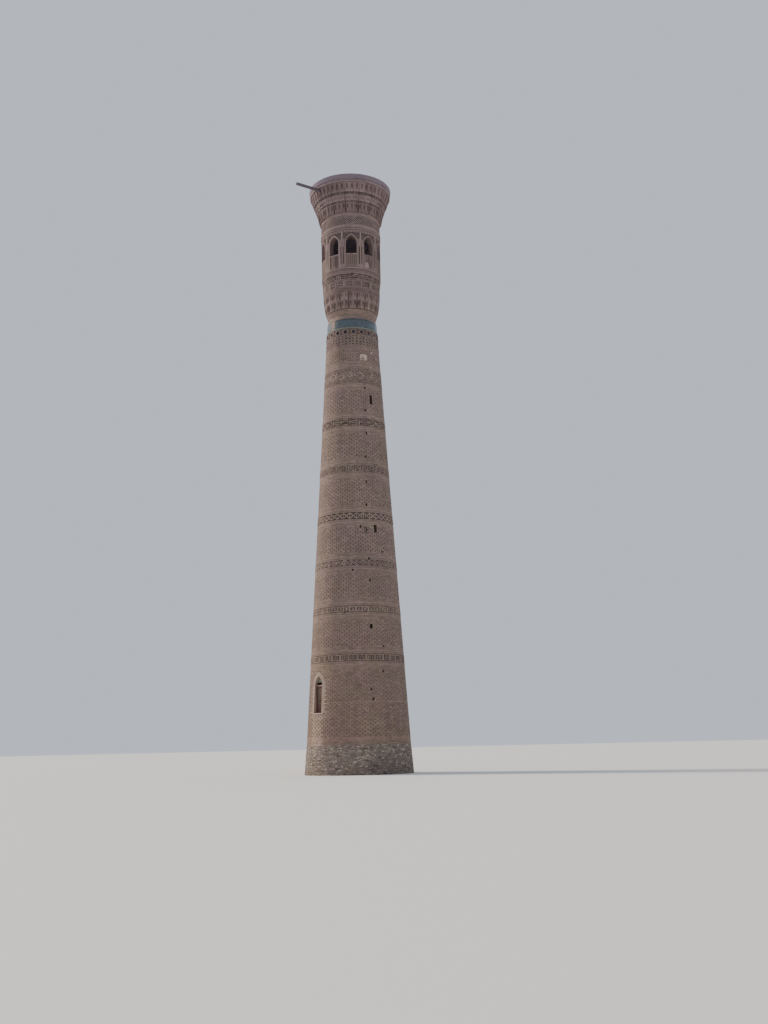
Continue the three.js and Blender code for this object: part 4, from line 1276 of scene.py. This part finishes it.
parts, patch_parts, diaper = [], [], []
for bay, azimuth in enumerate(bays):
    sill_stones = azimuth + (np.arange(3) - 1) * SILL_STEP / LANTERN_RADIUS
    stands = SILL_PROUD + chance.uniform(-SILL_UNEVEN, SILL_UNEVEN, 3)
    parts.append(bricks(sill_stones, PARAPET_SILL, *SILL_STONE, bay_wall, STRIP_BACK, stands,
                        fired_tones(3, 0.56, 0.10)))
    places = azimuth + flute_aside / LANTERN_RADIUS
    if bay == DAMAGED_BAY:
        parts.append(flutes(places[[1, 2]], REST_FACE, 0.26))
        diaper.append(carving(LOZENGES, DIAPERS, panel_low, panel_low + DIAPER_TALL, bay_wall,
                              wide=DIAPER_WIDE, face=DIAPER_FACE))
    elif bay == PATCHED_BAY:
        parts.append(flutes(places[[0, 4]], FLUTE_FACE, 0.40))
        parts.append(bricks(places[1:4], panel_high - STUMP_TALL / 2, FLUTE_WIDE, STUMP_TALL, bay_wall,
                            STRIP_BACK, STUMP_FACE, STUMP_TONES))
        middle = np.array([azimuth + PATCH_ASIDE, panel_low + PATCH_UP])
        patch = PATCH_OUTLINE / np.array([LANTERN_RADIUS, 1.0]) + middle
        patch_parts.append(slabs(patch[None], bay_wall, STRIP_BACK, PATCH_FACE, 0.30))
    else:
        stands = FLUTE_FACE + chance.uniform(-STRIP_UNEVEN, STRIP_UNEVEN, FLUTES)
        parts.append(flutes(places, stands, fired_tones(FLUTES, 0.38, 0.08)))
add_piece("parapet_flutes", parts, moulding)
panels = bay_ground(PANEL_HALF, lambda aside: np.full(len(aside), panel_low), panel_high,
                    np.where(renewed, 0.14, 0.20), PANEL_STRIPS)
add_piece("panel_grounds", [panels], carved)
add_piece("parapet_diaper", diaper, carved)
add_piece("parapet_patch", patch_parts, pale)

# %% [markdown]
# Over the arches come the cornice rings, a drum covered with small dark lozenges, and the crown: three
# more stalactite rows, each standing out over the last, and a plain rim in two steps with a thin pale
# line under it.

# %% Cornice and lozenge drum
CORNICE_RADIUS, DRUM_RADIUS = 1.985, 1.965
# The rings that stand back take low tones: painted shade between the proud pale rings, darkest under the top
# one.
CORNICE_RINGS = ((0.03, 0.05, 0.020, 0.30), (0.095, 0.05, 0.034, 0.60), (0.16, 0.05, 0.020, 0.24),
                 (0.225, 0.05, 0.012, 0.12), (0.30, 0.07, 0.036, 0.60))
ROPE_TURNS, ROPE_LOW, ROPE_HIGH = 72, 0.205, 0.255
low, high = span("lantern_cornice")
cornice_wall = upright_wall(CORNICE_RADIUS)
parts = ring_lines(low, cornice_wall, CORNICE_RINGS)
rope = repeated([[(0.1, 0.0), (0.9, 1.0)]], ROPE_TURNS, low + ROPE_LOW, low + ROPE_HIGH)
parts.append(strokes(rope, cornice_wall, 0.045, -0.01, 0.028, fired_tones(len(rope), 0.66, 0.08)))
add_piece("cornice_rings", parts, moulding)

LOZENGE_FOOT, LOZENGE_TOP = 0.02, 36.12
LOZENGE_STEP, LOZENGE_RISE = 0.152, 0.085
LOZENGE_SHARE, SHADOW_SHARE = 0.94, 1.15
low, high = span("upper_drum")
drum_wall = upright_wall(DRUM_RADIUS)
to_azimuth = np.array([DRUM_RADIUS, 1.0])
rows, rise = courses(low + LOZENGE_FOOT, LOZENGE_TOP, LOZENGE_RISE)
count = round(TAU * DRUM_RADIUS / LOZENGE_STEP)
azimuth, height = staggered(rows, count)
whole = (height > low + LOZENGE_FOOT + rise) & (height < LOZENGE_TOP - rise)
middles = np.stack([azimuth, height], -1)[whole]
lozenge = EIGHT[::2] * np.array([0.5 * TAU * DRUM_RADIUS / count - 0.012, rise - 0.010]) / to_azimuth
hole = EIGHT[::2] * np.array([0.046, 0.050]) / to_azimuth
outline = set_at(middles, ring_cells(lozenge * LOZENGE_SHARE, hole))
tones = for_cells(fired_tones(len(middles), 0.76, 0.08), len(middles), len(hole))
parts = [slabs(outline, drum_wall, STRIP_BACK, 0.020, tones)]
parts.append(border(low + LOZENGE_FOOT, drum_wall, tall=0.035, middle=0.6))
parts.append(border(LOZENGE_TOP, drum_wall, tall=0.03, middle=0.55))
add_piece("lozenge_lattice", parts, carved)
shadows = slabs(set_at(middles, (hole * SHADOW_SHARE)[None]), drum_wall, -0.01, 0.003, 0.0)
add_piece("lozenge_shadows", [shadows], shadow_core)
parts = [plain_courses(LOZENGE_TOP + 0.02, high, drum_wall, middle=0.56, spread=0.05)]
add_piece("brickwork_upper_drum", parts, facing)

# %% [markdown]
# The crown's three rows are laid in tiers, because the niches of each row start under the row above it:
# dark niches over a lobed foot, dark heads, a light row with upright joints, heads again, and the tall
# ribs that carry the rim. Where a tier isn't one of the solids, its radii lie on the line between theirs.

# %% Tiers of the crown
CROWN_TURN = math.radians(0.4)
CROWN_UNITS = 16
CROWN_BORE = 1.545
CROWN_RADII = (2.215, 2.365, 2.660)
LOWER_HEADS_TOP = 37.06
UPPER_HEADS_FOOT, UPPER_HEADS_TOP = 37.42, 37.61
middle_low, middle_top = span("crown_row_middle")
upper_low, upper_top = span("crown_row_upper")
middle_wall = cone(middle_low, CROWN_RADII[0], middle_top, CROWN_RADII[1])
upper_wall = cone(upper_low, CROWN_RADII[1], upper_top, CROWN_RADII[2])


def tier(low, high, wall, niches, **looks):
    return niche_row(low, high, wall(low), wall(high), CROWN_BORE, CROWN_UNITS, niches, turn=CROWN_TURN,
                     **looks)


# The crown's dark niches and dark heads are painted shade: low middle tones and the head and foot shade
# amounts.
replace_row("crown_row_lower", CROWN_UNITS, 3, slot_deep=0.12, hollow_deep=0.05, turn=CROWN_TURN,
            middle=0.42, head_dark=0.22, foot_dark=0.10)
parts = [tier(middle_low, LOWER_HEADS_TOP, middle_wall, 3, slot_deep=0.10, hollow_deep=0.045, step=0.045,
              rib_wide=0.24, middle=0.32)]
parts.append(tier(LOWER_HEADS_TOP, middle_top, middle_wall, 2, slot_deep=0.06, hollow_deep=0.02, arch=0.9,
                  rib_wide=0.20, middle=0.56, head_dark=0.10))
piece = add_piece("niches_crown_row_middle", parts, carved)
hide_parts("crown_row_middle")
parts = [tier(upper_low, UPPER_HEADS_FOOT, upper_wall, 2, slot_deep=0.05, hollow_deep=0.01, step=0.045,
              rib_wide=0.20, middle=0.54, head_dark=0.05)]
# This heads tier's low middle tone is painted shade under the tall ribs.
parts.append(tier(UPPER_HEADS_FOOT, UPPER_HEADS_TOP, upper_wall, 3, slot_deep=0.06, hollow_deep=0.05,
                  step=0.048, rib_wide=0.26, middle=0.30))
parts.append(tier(UPPER_HEADS_TOP, upper_top, upper_wall, 3, slot_deep=0.02, hollow_deep=0.038, arch=0.98,
                  rib_wide=0.40, middle=0.54, head_dark=0.28))
piece = add_piece("niches_crown_row_upper", parts, carved)
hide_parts("crown_row_upper")

# %% [markdown]
# The rim has two steps, the upper one greyer, with a thin pale line at its foot. Its top is a ring of
# bricks laid flat, and the roof inside it is paved in rings too, on the slope of the roof's own solid.

# %% Rim, coping and roof
RIM_RADII = (2.690, 2.753)
RIM_STEP, RIM_EDGE = 38.42, 0.002
RIM_LINE_UP, RIM_GROOVE_UP, RIM_FOOT = 0.022, 0.058, 0.075
COPING_RINGS = ((2.36, 2.55, 190), (2.56, 2.772, 200))
COPING_LIFT, COPING_THICK = 0.004, 0.05
PAVING_GAP, PAVING_UNEVEN = 0.003, 0.003
low, high = span("crown_rim")
rim_wall = cone(low, RIM_RADII[0], high, RIM_RADII[1])
parts = [plain_courses(low + RIM_FOOT, RIM_STEP, rim_wall, middle=0.48, spread=0.05, face=0.002)]
parts.append(plain_courses(RIM_STEP, high - RIM_EDGE, rim_wall, middle=0.72, spread=0.06, face=0.026))
add_piece("brickwork_rim", parts, rim_finish)
line = ring_line(low + RIM_LINE_UP, rim_wall, tall=0.042, proud=0.030, middle=0.85)
add_piece("rim_line", [line], moulding)
groove = ring_line(low + RIM_GROOVE_UP, rim_wall, tall=0.026, proud=0.001, middle=0.15)
add_piece("rim_groove", [groove], shadow_core)


def paving(inner, outer, inner_top, outer_top, count, thick):
    """Bricks laid flat in a ring, with their tops on a slope."""
    tone = fired_tones(count, 0.5, 0.1)
    azimuth = np.arange(count) * TAU / count + chance.uniform(0.0, TAU)
    half = math.pi / count - PAVING_GAP / outer
    lift = chance.uniform(-PAVING_UNEVEN, PAVING_UNEVEN, count)
    corners = [(inner, -half, inner_top), (outer, -half, outer_top), (outer, half, outer_top),
               (inner, half, inner_top)]
    rings = [np.stack([round_place(azimuth + turn, np.full(count, radius), top - drop + lift)
                       for radius, turn, top in corners], 1) for drop in (0.0, thick)]
    return np.concatenate(rings, 1).reshape(-1, 3), prism_faces(count, 4), np.repeat(tone, 8)


coping = [paving(inner, outer, high + COPING_LIFT, high + COPING_LIFT, count, COPING_THICK)
          for inner, outer, count in COPING_RINGS]
add_piece("rim_coping", coping, rim_finish)

ROOF_EDGE_RADIUS, ROOF_EDGE_UP = 2.35, 0.06
PAVER, PAVER_GAP, PAVER_THICK, PAVER_LIFT = 0.235, 0.008, 0.03, 0.012
roof_foot, roof_top = span("roof_cap")
roof_slope = (roof_top - (roof_foot + ROOF_EDGE_UP)) / ROOF_EDGE_RADIUS
roof_paving = []
for ring in range(int(ROOF_EDGE_RADIUS / PAVER)):
    inner = ROOF_EDGE_RADIUS - (ring + 1) * PAVER + PAVER_GAP
    outer = ROOF_EDGE_RADIUS - ring * PAVER
    count = max(6, round(TAU * outer / PAVER))
    tops = [roof_top - roof_slope * radius + PAVER_LIFT for radius in (inner, outer)]
    roof_paving.append(paving(inner, outer, *tops, count, PAVER_THICK))
add_piece("roof_paving", roof_paving, roofing)

# %% [markdown]
# The timber that sticks out of the crown has lost its sharp edges: it is a hewn beam with chamfers, a
# little uneven along its length, drooping and ragged at its end.

# %% Weathered beam
BEAM_AZIMUTH = math.radians(2.0)
BEAM_INNER, BEAM_OUTER = 2.20, 4.548
BEAM_LEVELS = (38.125, 37.960)
BEAM_HALF = 0.0825
CHAMFER = 0.022
BEAM_RINGS = 40
BEAM_WEAR = 0.03
WORN_END, WORN_SHARE = 0.12, 0.93
RAGGED_END = 0.03


def beam():
    """A closed bar along the azimuth of the beam. Every ring is a square with cut corners."""
    half, flat = BEAM_HALF, BEAM_HALF - CHAMFER
    ring = np.array([(half, -flat), (half, flat), (flat, half), (-flat, half), (-half, flat), (-half, -flat),
                     (-flat, -half), (flat, -half)])
    along = np.linspace(BEAM_INNER, BEAM_OUTER, BEAM_RINGS)
    worn = np.minimum(1.0 + chance.normal(0.0, BEAM_WEAR, (BEAM_RINGS, 8, 1)), 1.0)
    section = ring[None] * worn * np.where(along > BEAM_OUTER - WORN_END, WORN_SHARE, 1.0)[:, None, None]
    out = round_place(BEAM_AZIMUTH, 1.0, 0.0)[:2]
    side = np.array([-out[1], out[0]])
    ragged = np.zeros((BEAM_RINGS, 8))
    ragged[-1] = chance.uniform(-RAGGED_END, 0.0, 8)
    reach = along[:, None] + ragged
    level = np.interp(reach, (BEAM_INNER, BEAM_OUTER), BEAM_LEVELS)[..., None]
    points = np.concatenate([reach[..., None] * out + section[..., :1] * side, level + section[..., 1:]], -1)
    row, corner = every_pair(BEAM_RINGS - 1, 8)
    beside = (corner + 1) % 8
    sides = np.stack([row * 8 + corner, row * 8 + beside, (row + 1) * 8 + beside, (row + 1) * 8 + corner], -1)
    ends = np.stack([np.arange(8)[::-1], (BEAM_RINGS - 1) * 8 + np.arange(8)])
    return points.reshape(-1, 3), [sides, ends], np.full(BEAM_RINGS * 8, 0.5)


timber_beam = add_piece("weathered_beam", [beam()], beam_wood)
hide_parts("roof_beam")

# %% [markdown]
# The foot was rebuilt in rough small masonry, greyer than the shaft. Each course has its own height, its
# stones take chance lengths round the wall, their corners are off by a few millimetres, and some stand
# back or are missing. They get darker towards the ground, where rain splashes.

# %% Rough masonry of the foot
FOOT_TOP = span("foot_course")[1]
FOOT_RADII = (3.340, 3.2004)
foot_wall = cone(0.0, FOOT_RADII[0], FOOT_TOP, FOOT_RADII[1])
STONE_LONG = (0.09, 0.27)
STONE_TALL = (0.055, 0.09)
STONE_MISSING = 0.03
STONE_JOINT = 0.010
STONE_SHAPE = np.array([(-1, -0.6), (-0.8, -1), (0.8, -1), (1, -0.6), (1, 0.7), (0.8, 1), (-0.8, 1),
                        (-1, 0.7)])
STONE_UNEVEN = 0.005
STONE_FACE, STONE_DEPTHS = 0.012, 0.010
STONE_TONES, STONE_SHARES = [0.36, 0.50, 0.62, 0.78], [0.22, 0.38, 0.28, 0.12]
SPLASHED = 0.14


def rough_courses(low, high, wall):
    """Rows of random height from low to high, with stones of random length in each."""
    heights = [low]
    while heights[-1] < high - STONE_TALL[1]:
        heights.append(heights[-1] + chance.uniform(*STONE_TALL))
    edges = low + (np.array(heights) - low) * (high - low) / (heights[-1] - low)
    azimuth, height, long, tall = [], [], [], []
    for foot, head in zip(edges[:-1], edges[1:]):
        girth = TAU * wall(foot)
        ends = np.cumsum(chance.uniform(*STONE_LONG, int(girth / STONE_LONG[0])))
        ends = ends[ends < girth - STONE_LONG[0]]
        ends = np.concatenate([[0.0], ends, [girth]]) / wall(foot) + chance.uniform(0.0, TAU)
        azimuth.append(0.5 * (ends[:-1] + ends[1:]))
        long.append((ends[1:] - ends[:-1]) * wall(foot) - STONE_JOINT)
        height.append(np.full(len(ends) - 1, 0.5 * (foot + head)))
        tall.append(np.full(len(ends) - 1, head - foot - STONE_JOINT))
    azimuth, height, long, tall = [np.concatenate(values) for values in (azimuth, height, long, tall)]
    kept = chance.random(len(azimuth)) > STONE_MISSING
    azimuth, height, long, tall = azimuth[kept], height[kept], long[kept], tall[kept]
    offset = STONE_SHAPE[None] * np.stack([long, tall], -1)[:, None, :] / 2
    offset += chance.uniform(-STONE_UNEVEN, STONE_UNEVEN, offset.shape)
    outline = np.stack([azimuth[:, None] + offset[..., 0] / wall(height)[:, None],
                        np.clip(height[:, None] + offset[..., 1], low + 0.001, high - 0.001)], -1)
    stands = STONE_FACE + chance.uniform(-STONE_DEPTHS, STONE_DEPTHS, len(azimuth))
    tone = chance.choice(STONE_TONES, len(azimuth), p=STONE_SHARES)
    splashed = SPLASHED * (1.0 - (height - low) / (high - low)) ** 2
    tone = np.clip(tone - splashed + chance.normal(0.0, 0.06, len(azimuth)), 0.0, 1.0)
    return slabs(outline, wall, BRICK_BACK, stands, tone)


add_piece("rough_foot", [rough_courses(0.0, FOOT_TOP, foot_wall)], footing)

# %% [markdown]
# The doorway is set in pale new brick. Its jambs are toothed: every other block reaches further into
# the old wall, with a dark thin course between block and block. The arch has smooth voussoirs, and a
# moulding follows the whole opening. Under it lies a pale sill.

# %% Masonry of the doorway
OPENING_HALF = 0.392
OPENING_APEX = 5.883
INNER_STRIP = 0.52
DOOR_FACE, DARK_FACE, DOOR_BACK = 0.022, 0.012, -0.01
STRIP_EDGE, STRIP_APEX = OPENING_HALF + 0.046, OPENING_APEX + 0.066
BLOCK_EDGE = INNER_STRIP + 0.005
SURROUND_EDGE, SURROUND_APEX = SURROUND_HALF - 0.006, DOOR_TOP - 0.008
BLOCK_BED, STRIP_BED = 0.002, 0.003
DARK_JOINT, DARK_LOW, DARK_HIGH = 0.045, 0.006, 0.004
VOUSSOIR_ENDS = (0.02, 0.98)
ARCH_STEPS = 12
MOULDING_EDGE, MOULDING_APEX, MOULDING_FACE = OPENING_HALF + 0.040, OPENING_APEX + 0.058, 0.030
SILL_STONES, SILL_LONG, SILL_TALL, SILL_GAP = 5, 0.21, 0.065, 0.006
SILL_LEVEL, SILL_FACE = SILL - 0.036, 0.034


def on_wall(outline):
    """Places given by x and z in metres, as seen from the front, become azimuth and height."""
    return np.stack([np.arcsin(outline[..., 0] / shaft(outline[..., 1])), outline[..., 1]], -1)


def upright(left, right, low, high):
    return [(left, low), (right, low), (right, high), (left, high)]


blocks, dark_joints, strips = [], [], []
for block in range(JAMB_BLOCKS):
    low = SILL + block * tooth_rise
    high = low + tooth_rise - DARK_JOINT
    reach = TOOTH_OUT if block % 2 == 0 else SURROUND_EDGE
    strips.append(upright(STRIP_EDGE, INNER_STRIP, low + BLOCK_BED, low + tooth_rise - STRIP_BED))
    blocks.append(upright(BLOCK_EDGE, reach, low + BLOCK_BED, high))
    dark_joints.append(upright(BLOCK_EDGE, SURROUND_EDGE, high + DARK_LOW, low + tooth_rise - DARK_HIGH))
jamb = []
for cells, face, middle in ((strips, DOOR_FACE, 0.52), (blocks, DOOR_FACE, 0.46),
                            (dark_joints, DARK_FACE, 0.0)):
    tones = fired_tones(2 * JAMB_BLOCKS, middle, 0.06)
    jamb.append(slabs(on_wall(both_sides(cells)), shaft, DOOR_BACK, face, tones))
inner_arch = pointed_arch(STRIP_EDGE, DOOR_SPRING, STRIP_APEX, ARCH_STEPS)
outer_arch = pointed_arch(SURROUND_EDGE, DOOR_SPRING, SURROUND_APEX, ARCH_STEPS)
inner_cuts, outer_cuts = [[curve[:-1] * (1 - share) + curve[1:] * share for share in VOUSSOIR_ENDS]
                          for curve in (inner_arch, outer_arch)]
voussoirs = both_sides(np.stack([inner_cuts[0], outer_cuts[0], outer_cuts[1], inner_cuts[1]], 1))
jamb.append(slabs(on_wall(voussoirs), shaft, DOOR_BACK, DOOR_FACE, fired_tones(len(voussoirs), 0.34, 0.05)))
moulding_in = pointed_arch(OPENING_HALF, DOOR_SPRING, OPENING_APEX, ARCH_STEPS)
moulding_out = pointed_arch(MOULDING_EDGE, DOOR_SPRING, MOULDING_APEX, ARCH_STEPS)
jamb.append(arch_band(np.zeros(1), moulding_in, moulding_out, SILL + BLOCK_BED, shaft, MOULDING_FACE, 0.46,
                      back=0.0))
sill_places = (np.arange(SILL_STONES) - (SILL_STONES - 1) / 2) * SILL_LONG
stands = SILL_FACE + chance.uniform(-BRICK_UNEVEN, BRICK_UNEVEN, SILL_STONES)
jamb.append(bricks(sill_places / shaft(SILL), SILL_LEVEL, SILL_LONG - SILL_GAP, SILL_TALL, shaft,
                   BRICK_BACK, stands, fired_tones(SILL_STONES, 0.75, 0.08)))
add_piece("doorway_masonry", jamb, pale)

# %% [markdown]
# Inside the opening stand timber linings and stops, dark red, against which the leaves shut. A leaf has
# three planks, rails and an edge board on its face, battens on its back, iron studs and a ring. These
# ride on the leaf, so they swing with it. Boxes are made many at a time, as the slabs are.

# %% Timber of the doorway
LINING_DEEP = (-2.905, -2.846)
STOP_DEEP = (-2.886, -2.846)
STOP_HALF, LINING_HALF, LINING_EDGE = 0.338, 0.3845, 0.3895
STOP_TOP, STOP_TALL = DOOR_SPRING - 0.004, 0.05
LINING_FOOT = SILL + 0.004
THRESHOLD = (SILL + 0.001, SILL + 0.014)
BOX_CORNERS = np.array([(0, 0, 0), (1, 0, 0), (1, 1, 0), (0, 1, 0),
                        (0, 0, 1), (1, 0, 1), (1, 1, 1), (0, 1, 1)])
BOX_SIDES = np.array([(3, 2, 1, 0), (4, 5, 6, 7), (0, 1, 5, 4), (1, 2, 6, 5), (2, 3, 7, 6), (3, 0, 4, 7)])


def boxes(spans):
    """Closed boxes. spans is (count, 3, 2): the low and high end along x, y and z."""
    spans = np.array(spans, float)
    points = np.stack([spans[:, axis][:, BOX_CORNERS[:, axis]] for axis in range(3)], -1).reshape(-1, 3)
    faces = (np.arange(len(spans)) * 8)[:, None, None] + BOX_SIDES[None]
    return points, [faces.reshape(-1, 4)], np.full(len(points), 0.5)


def mirrored(spans):
    """The same boxes on the other side of the doorway's middle."""
    spans = np.array(spans, float)
    spans[:, 0] = -spans[:, 0, ::-1]
    return spans


lining = [[(LINING_HALF, LINING_EDGE), LINING_DEEP, (LINING_FOOT, DOOR_SPRING)],
          [(STOP_HALF, LINING_HALF), STOP_DEEP, (LINING_FOOT, STOP_TOP)]]
head = [[(-STOP_HALF, STOP_HALF), STOP_DEEP, (DOOR_SPRING - STOP_TALL, STOP_TOP)],
        [(-LINING_HALF, LINING_HALF), LINING_DEEP, THRESHOLD]]
lining = np.concatenate([lining, mirrored(lining)])
add_piece("door_lining", [boxes(lining), boxes(head)], frame_wood)

LEAF_LOW, LEAF_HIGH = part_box("door_leaf_right")
LEAF_FRONT, LEAF_FOOT = LEAF_LOW[1:]
LEAF_BACK, LEAF_HEAD = LEAF_HIGH[1:]
PLANKS = 3
MEETING_EDGE, HEEL_EDGE = LEAF_LOW[0] + 0.004, 0.372
plank_wide = (HEEL_EDGE - MEETING_EDGE) / PLANKS
PLANK_GAP, PLANK_TRIM = 0.002, 0.004
PLANK_DEEP = (LEAF_FRONT - 0.005, LEAF_FRONT + 0.006)
RAIL_LEVELS = (LEAF_FOOT + 0.05, LEAF_FOOT + 0.52, LEAF_HEAD - 0.05)
RAIL_HALF, BATTEN_HALF = 0.036, 0.05
BATTEN_REACH, BATTEN_DEEP = (0.03, 0.264), (LEAF_BACK - 0.004, LEAF_BACK + 0.022)
BATTEN_LEVELS = (LEAF_FOOT + 0.30, LEAF_HEAD - 0.30)
STILE_WIDE, STILE_TRIM = 0.045, 0.01
FRONT_OF_RAILS = LEAF_FRONT - 0.011
BEHIND_RAILS = LEAF_FRONT + 0.004
PANEL_FRONT, PANEL_TRIM = LEAF_FRONT - 0.009, 0.07
PANEL_REACH = (MEETING_EDGE + 0.03, HEEL_EDGE - 0.06)
STUD_ROW, STUD_STEP, STUD_RADIUS, STUD_PROUD = 5, 0.075, 0.009, 0.006
STUD_INSET, STUD_ROOT, STUD_RIM = 0.03, 0.004, 0.4
RING_ASIDE, RING_UP, RING_RADIUS, RING_WIRE, RING_OUT = 0.075, 0.72, 0.034, 0.005, 0.008
PLATE = [[(RING_ASIDE - 0.028, RING_ASIDE + 0.028), (PANEL_FRONT, LEAF_FRONT + 0.002),
          (LEAF_FOOT + 0.715, LEAF_FOOT + 0.79)]]


def studs(places, radius, proud):
    """Low domed nail heads on the front of a leaf: a six-sided foot and a point in front of it."""
    angle = np.arange(6) * TAU / 6
    points, squares, triangles = [], [], []
    for x, z in places:
        first = len(points)
        for depth in (STUD_ROOT, -proud * STUD_RIM):
            points += [(x + radius * math.cos(turn), FRONT_OF_RAILS + depth, z + radius * math.sin(turn))
                       for turn in angle]
        points += [(x, FRONT_OF_RAILS - proud, z), (x, FRONT_OF_RAILS + STUD_ROOT, z)]
        for here in range(6):
            after = (here + 1) % 6
            squares.append([first + here, first + after, first + 6 + after, first + 6 + here])
            triangles.append([first + 6 + here, first + 6 + after, first + 12])
            triangles.append([first + after, first + here, first + 13])
    return np.array(points), [np.array(squares), np.array(triangles)], np.full(len(points), 0.5)


def hoop(middle, radius, wire, steps=20, sides=6):
    """A ring of round wire that hangs flat against the leaf, its axis along y."""
    step, side = every_pair(steps, sides)
    turn, around = step * TAU / steps, side * TAU / sides
    reach = radius + wire * np.cos(around)
    points = np.stack([middle[0] + reach * np.cos(turn), middle[1] + wire * np.sin(around),
                       middle[2] + reach * np.sin(turn)], -1)
    step_on, side_on = (step + 1) % steps, (side + 1) % sides
    first = np.stack([step, step, step_on, step_on], -1) * sides
    faces = first + np.stack([side, side_on, side_on, side], -1)
    return points, [faces], np.full(len(points), 0.5)


planks, rails, battens = [], [], []
for plank in range(PLANKS):
    edge = MEETING_EDGE + plank * plank_wide
    planks.append([(edge + PLANK_GAP, edge + plank_wide - PLANK_GAP), PLANK_DEEP,
                   (LEAF_FOOT + PLANK_TRIM, LEAF_HEAD - PLANK_TRIM)])
for level in RAIL_LEVELS:
    rails.append([(MEETING_EDGE, HEEL_EDGE), (FRONT_OF_RAILS, BEHIND_RAILS),
                  (level - RAIL_HALF, level + RAIL_HALF)])
for edge in (HEEL_EDGE - STILE_WIDE, MEETING_EDGE + 0.001):
    rails.append([(edge, edge + STILE_WIDE), (FRONT_OF_RAILS + 0.001, BEHIND_RAILS),
                  (LEAF_FOOT + STILE_TRIM, LEAF_HEAD - STILE_TRIM)])
rails.append([PANEL_REACH, (PANEL_FRONT, BEHIND_RAILS),
              (RAIL_LEVELS[0] + PANEL_TRIM, RAIL_LEVELS[1] - PANEL_TRIM)])
for level in BATTEN_LEVELS:
    battens.append([BATTEN_REACH, BATTEN_DEEP, (level - BATTEN_HALF, level + BATTEN_HALF)])

for name, side in (("left", -1.0), ("right", 1.0)):
    leaf = f"leaf_{name}"
    placed = [mirrored(spans) if side < 0 else spans for spans in (planks, battens, rails, PLATE)]
    wood, backs, face_rails, ring_plate = [boxes(spans) for spans in placed]
    add_piece(f"planks_{name}", [wood, backs], leaf_wood, body=leaf)
    add_piece(f"rails_{name}", [face_rails], frame_wood, body=leaf)
    places = [(side * (MEETING_EDGE + STUD_INSET + STUD_STEP * number), level)
              for level in RAIL_LEVELS for number in range(STUD_ROW)]
    ring = hoop((side * RING_ASIDE, FRONT_OF_RAILS - RING_OUT, LEAF_FOOT + RING_UP), RING_RADIUS, RING_WIRE)
    iron_parts = [studs(places, STUD_RADIUS, STUD_PROUD), ring, ring_plate]
    add_piece(f"iron_{name}", iron_parts, old_iron, body=leaf)

# %% [markdown]
# Last come the marks of age on the shaft. The putlog holes are pockets between the bricks, dark with
# painted shade. Beside the middle slit sits a small cross of holes, painted dark the same way, and high
# up are a pale mortar patch and two pale spots.

# %% Putlog holes, cross and patches
POCKET_FACE, CROSS_FACE, MORTAR_FACE = 0.003, 0.018, 0.019
POCKET_WIDE, POCKET_TALL = 2 * PUTLOG_HALF - 0.004, 0.115
CROSS_AZIMUTH, CROSS_LEVEL, CROSS_ASIDE, CROSS_RISE = math.radians(69.0), 14.76, 0.13, 0.15
MORTAR_AZIMUTH, MORTAR_LOW, MORTAR_HIGH = math.radians(76.5), 26.07, 26.50
PALE_SPOTS = [(96.8, 26.72, 0.10, 0.08), (95.5, 26.60, 0.05, 0.05)]
levels, places = np.array(PUTLOG_HOLES).T
pockets = [bricks(np.radians(places), levels, POCKET_WIDE, POCKET_TALL, shaft, BRICK_BACK, POCKET_FACE, 0.3)]
cross = [(0.0, 0.0, 0.055, 0.42)]
cross += [(side * CROSS_ASIDE, rise, 0.05, 0.06)
          for side in (-1, 1) for rise in (-CROSS_RISE, 0.0, CROSS_RISE)]
for aside, rise, wide, tall in cross:
    pockets.append(bricks(CROSS_AZIMUTH + aside / shaft(CROSS_LEVEL), CROSS_LEVEL + rise, wide, tall, shaft,
                          BRICK_BACK, CROSS_FACE, 0.5))
add_piece("dark_pockets", pockets, hole_shade)

patch = np.array([[(-0.25, MORTAR_LOW), (0.20, MORTAR_LOW + 0.03), (0.24, MORTAR_HIGH - 0.05),
                   (0.05, MORTAR_HIGH), (-0.22, MORTAR_HIGH - 0.02),
                   (-0.27, 0.5 * (MORTAR_LOW + MORTAR_HIGH))]])
patch[..., 0] = MORTAR_AZIMUTH + patch[..., 0] / shaft(MORTAR_LOW)
parts = [slabs(patch, shaft, BRICK_BACK, MORTAR_FACE, 0.8)]
spot_turn, spot_level, spot_wide, spot_tall = np.array(PALE_SPOTS).T
parts.append(bricks(np.radians(spot_turn), spot_level, spot_wide, spot_tall, shaft, BRICK_BACK,
                    MORTAR_FACE, 0.9))
add_piece("mortar_patches", parts, pale)

# %% [markdown]
# The slits run straight through the tower, and the sky would show through both walls. So their far ends,
# which the photograph doesn't show, are boarded up inside, and a slit looks into the dark.

# %% Boards in the far ends of the slits
SLIT_BOARDS = [(251.0, 8.77, 0.15, 0.28), (279.5, 14.88, 0.20, 0.48), (272.5, 23.41, 0.20, 0.60)]
BORE_RADII = (1.878, 1.413)
BOARD_THICK = 0.04
WIDER, TALLER = 0.03, 0.02
board_turn, board_level, board_wide, board_tall = np.array(SLIT_BOARDS).T
board_wall = cone(board_level[0], BORE_RADII[0], board_level[-1], BORE_RADII[1])
boards = bricks(np.radians(board_turn), board_level, board_wide + WIDER, board_tall + TALLER, board_wall,
                0.0, BOARD_THICK, 0.3)
add_piece("slit_boards", [boards], beam_wood)
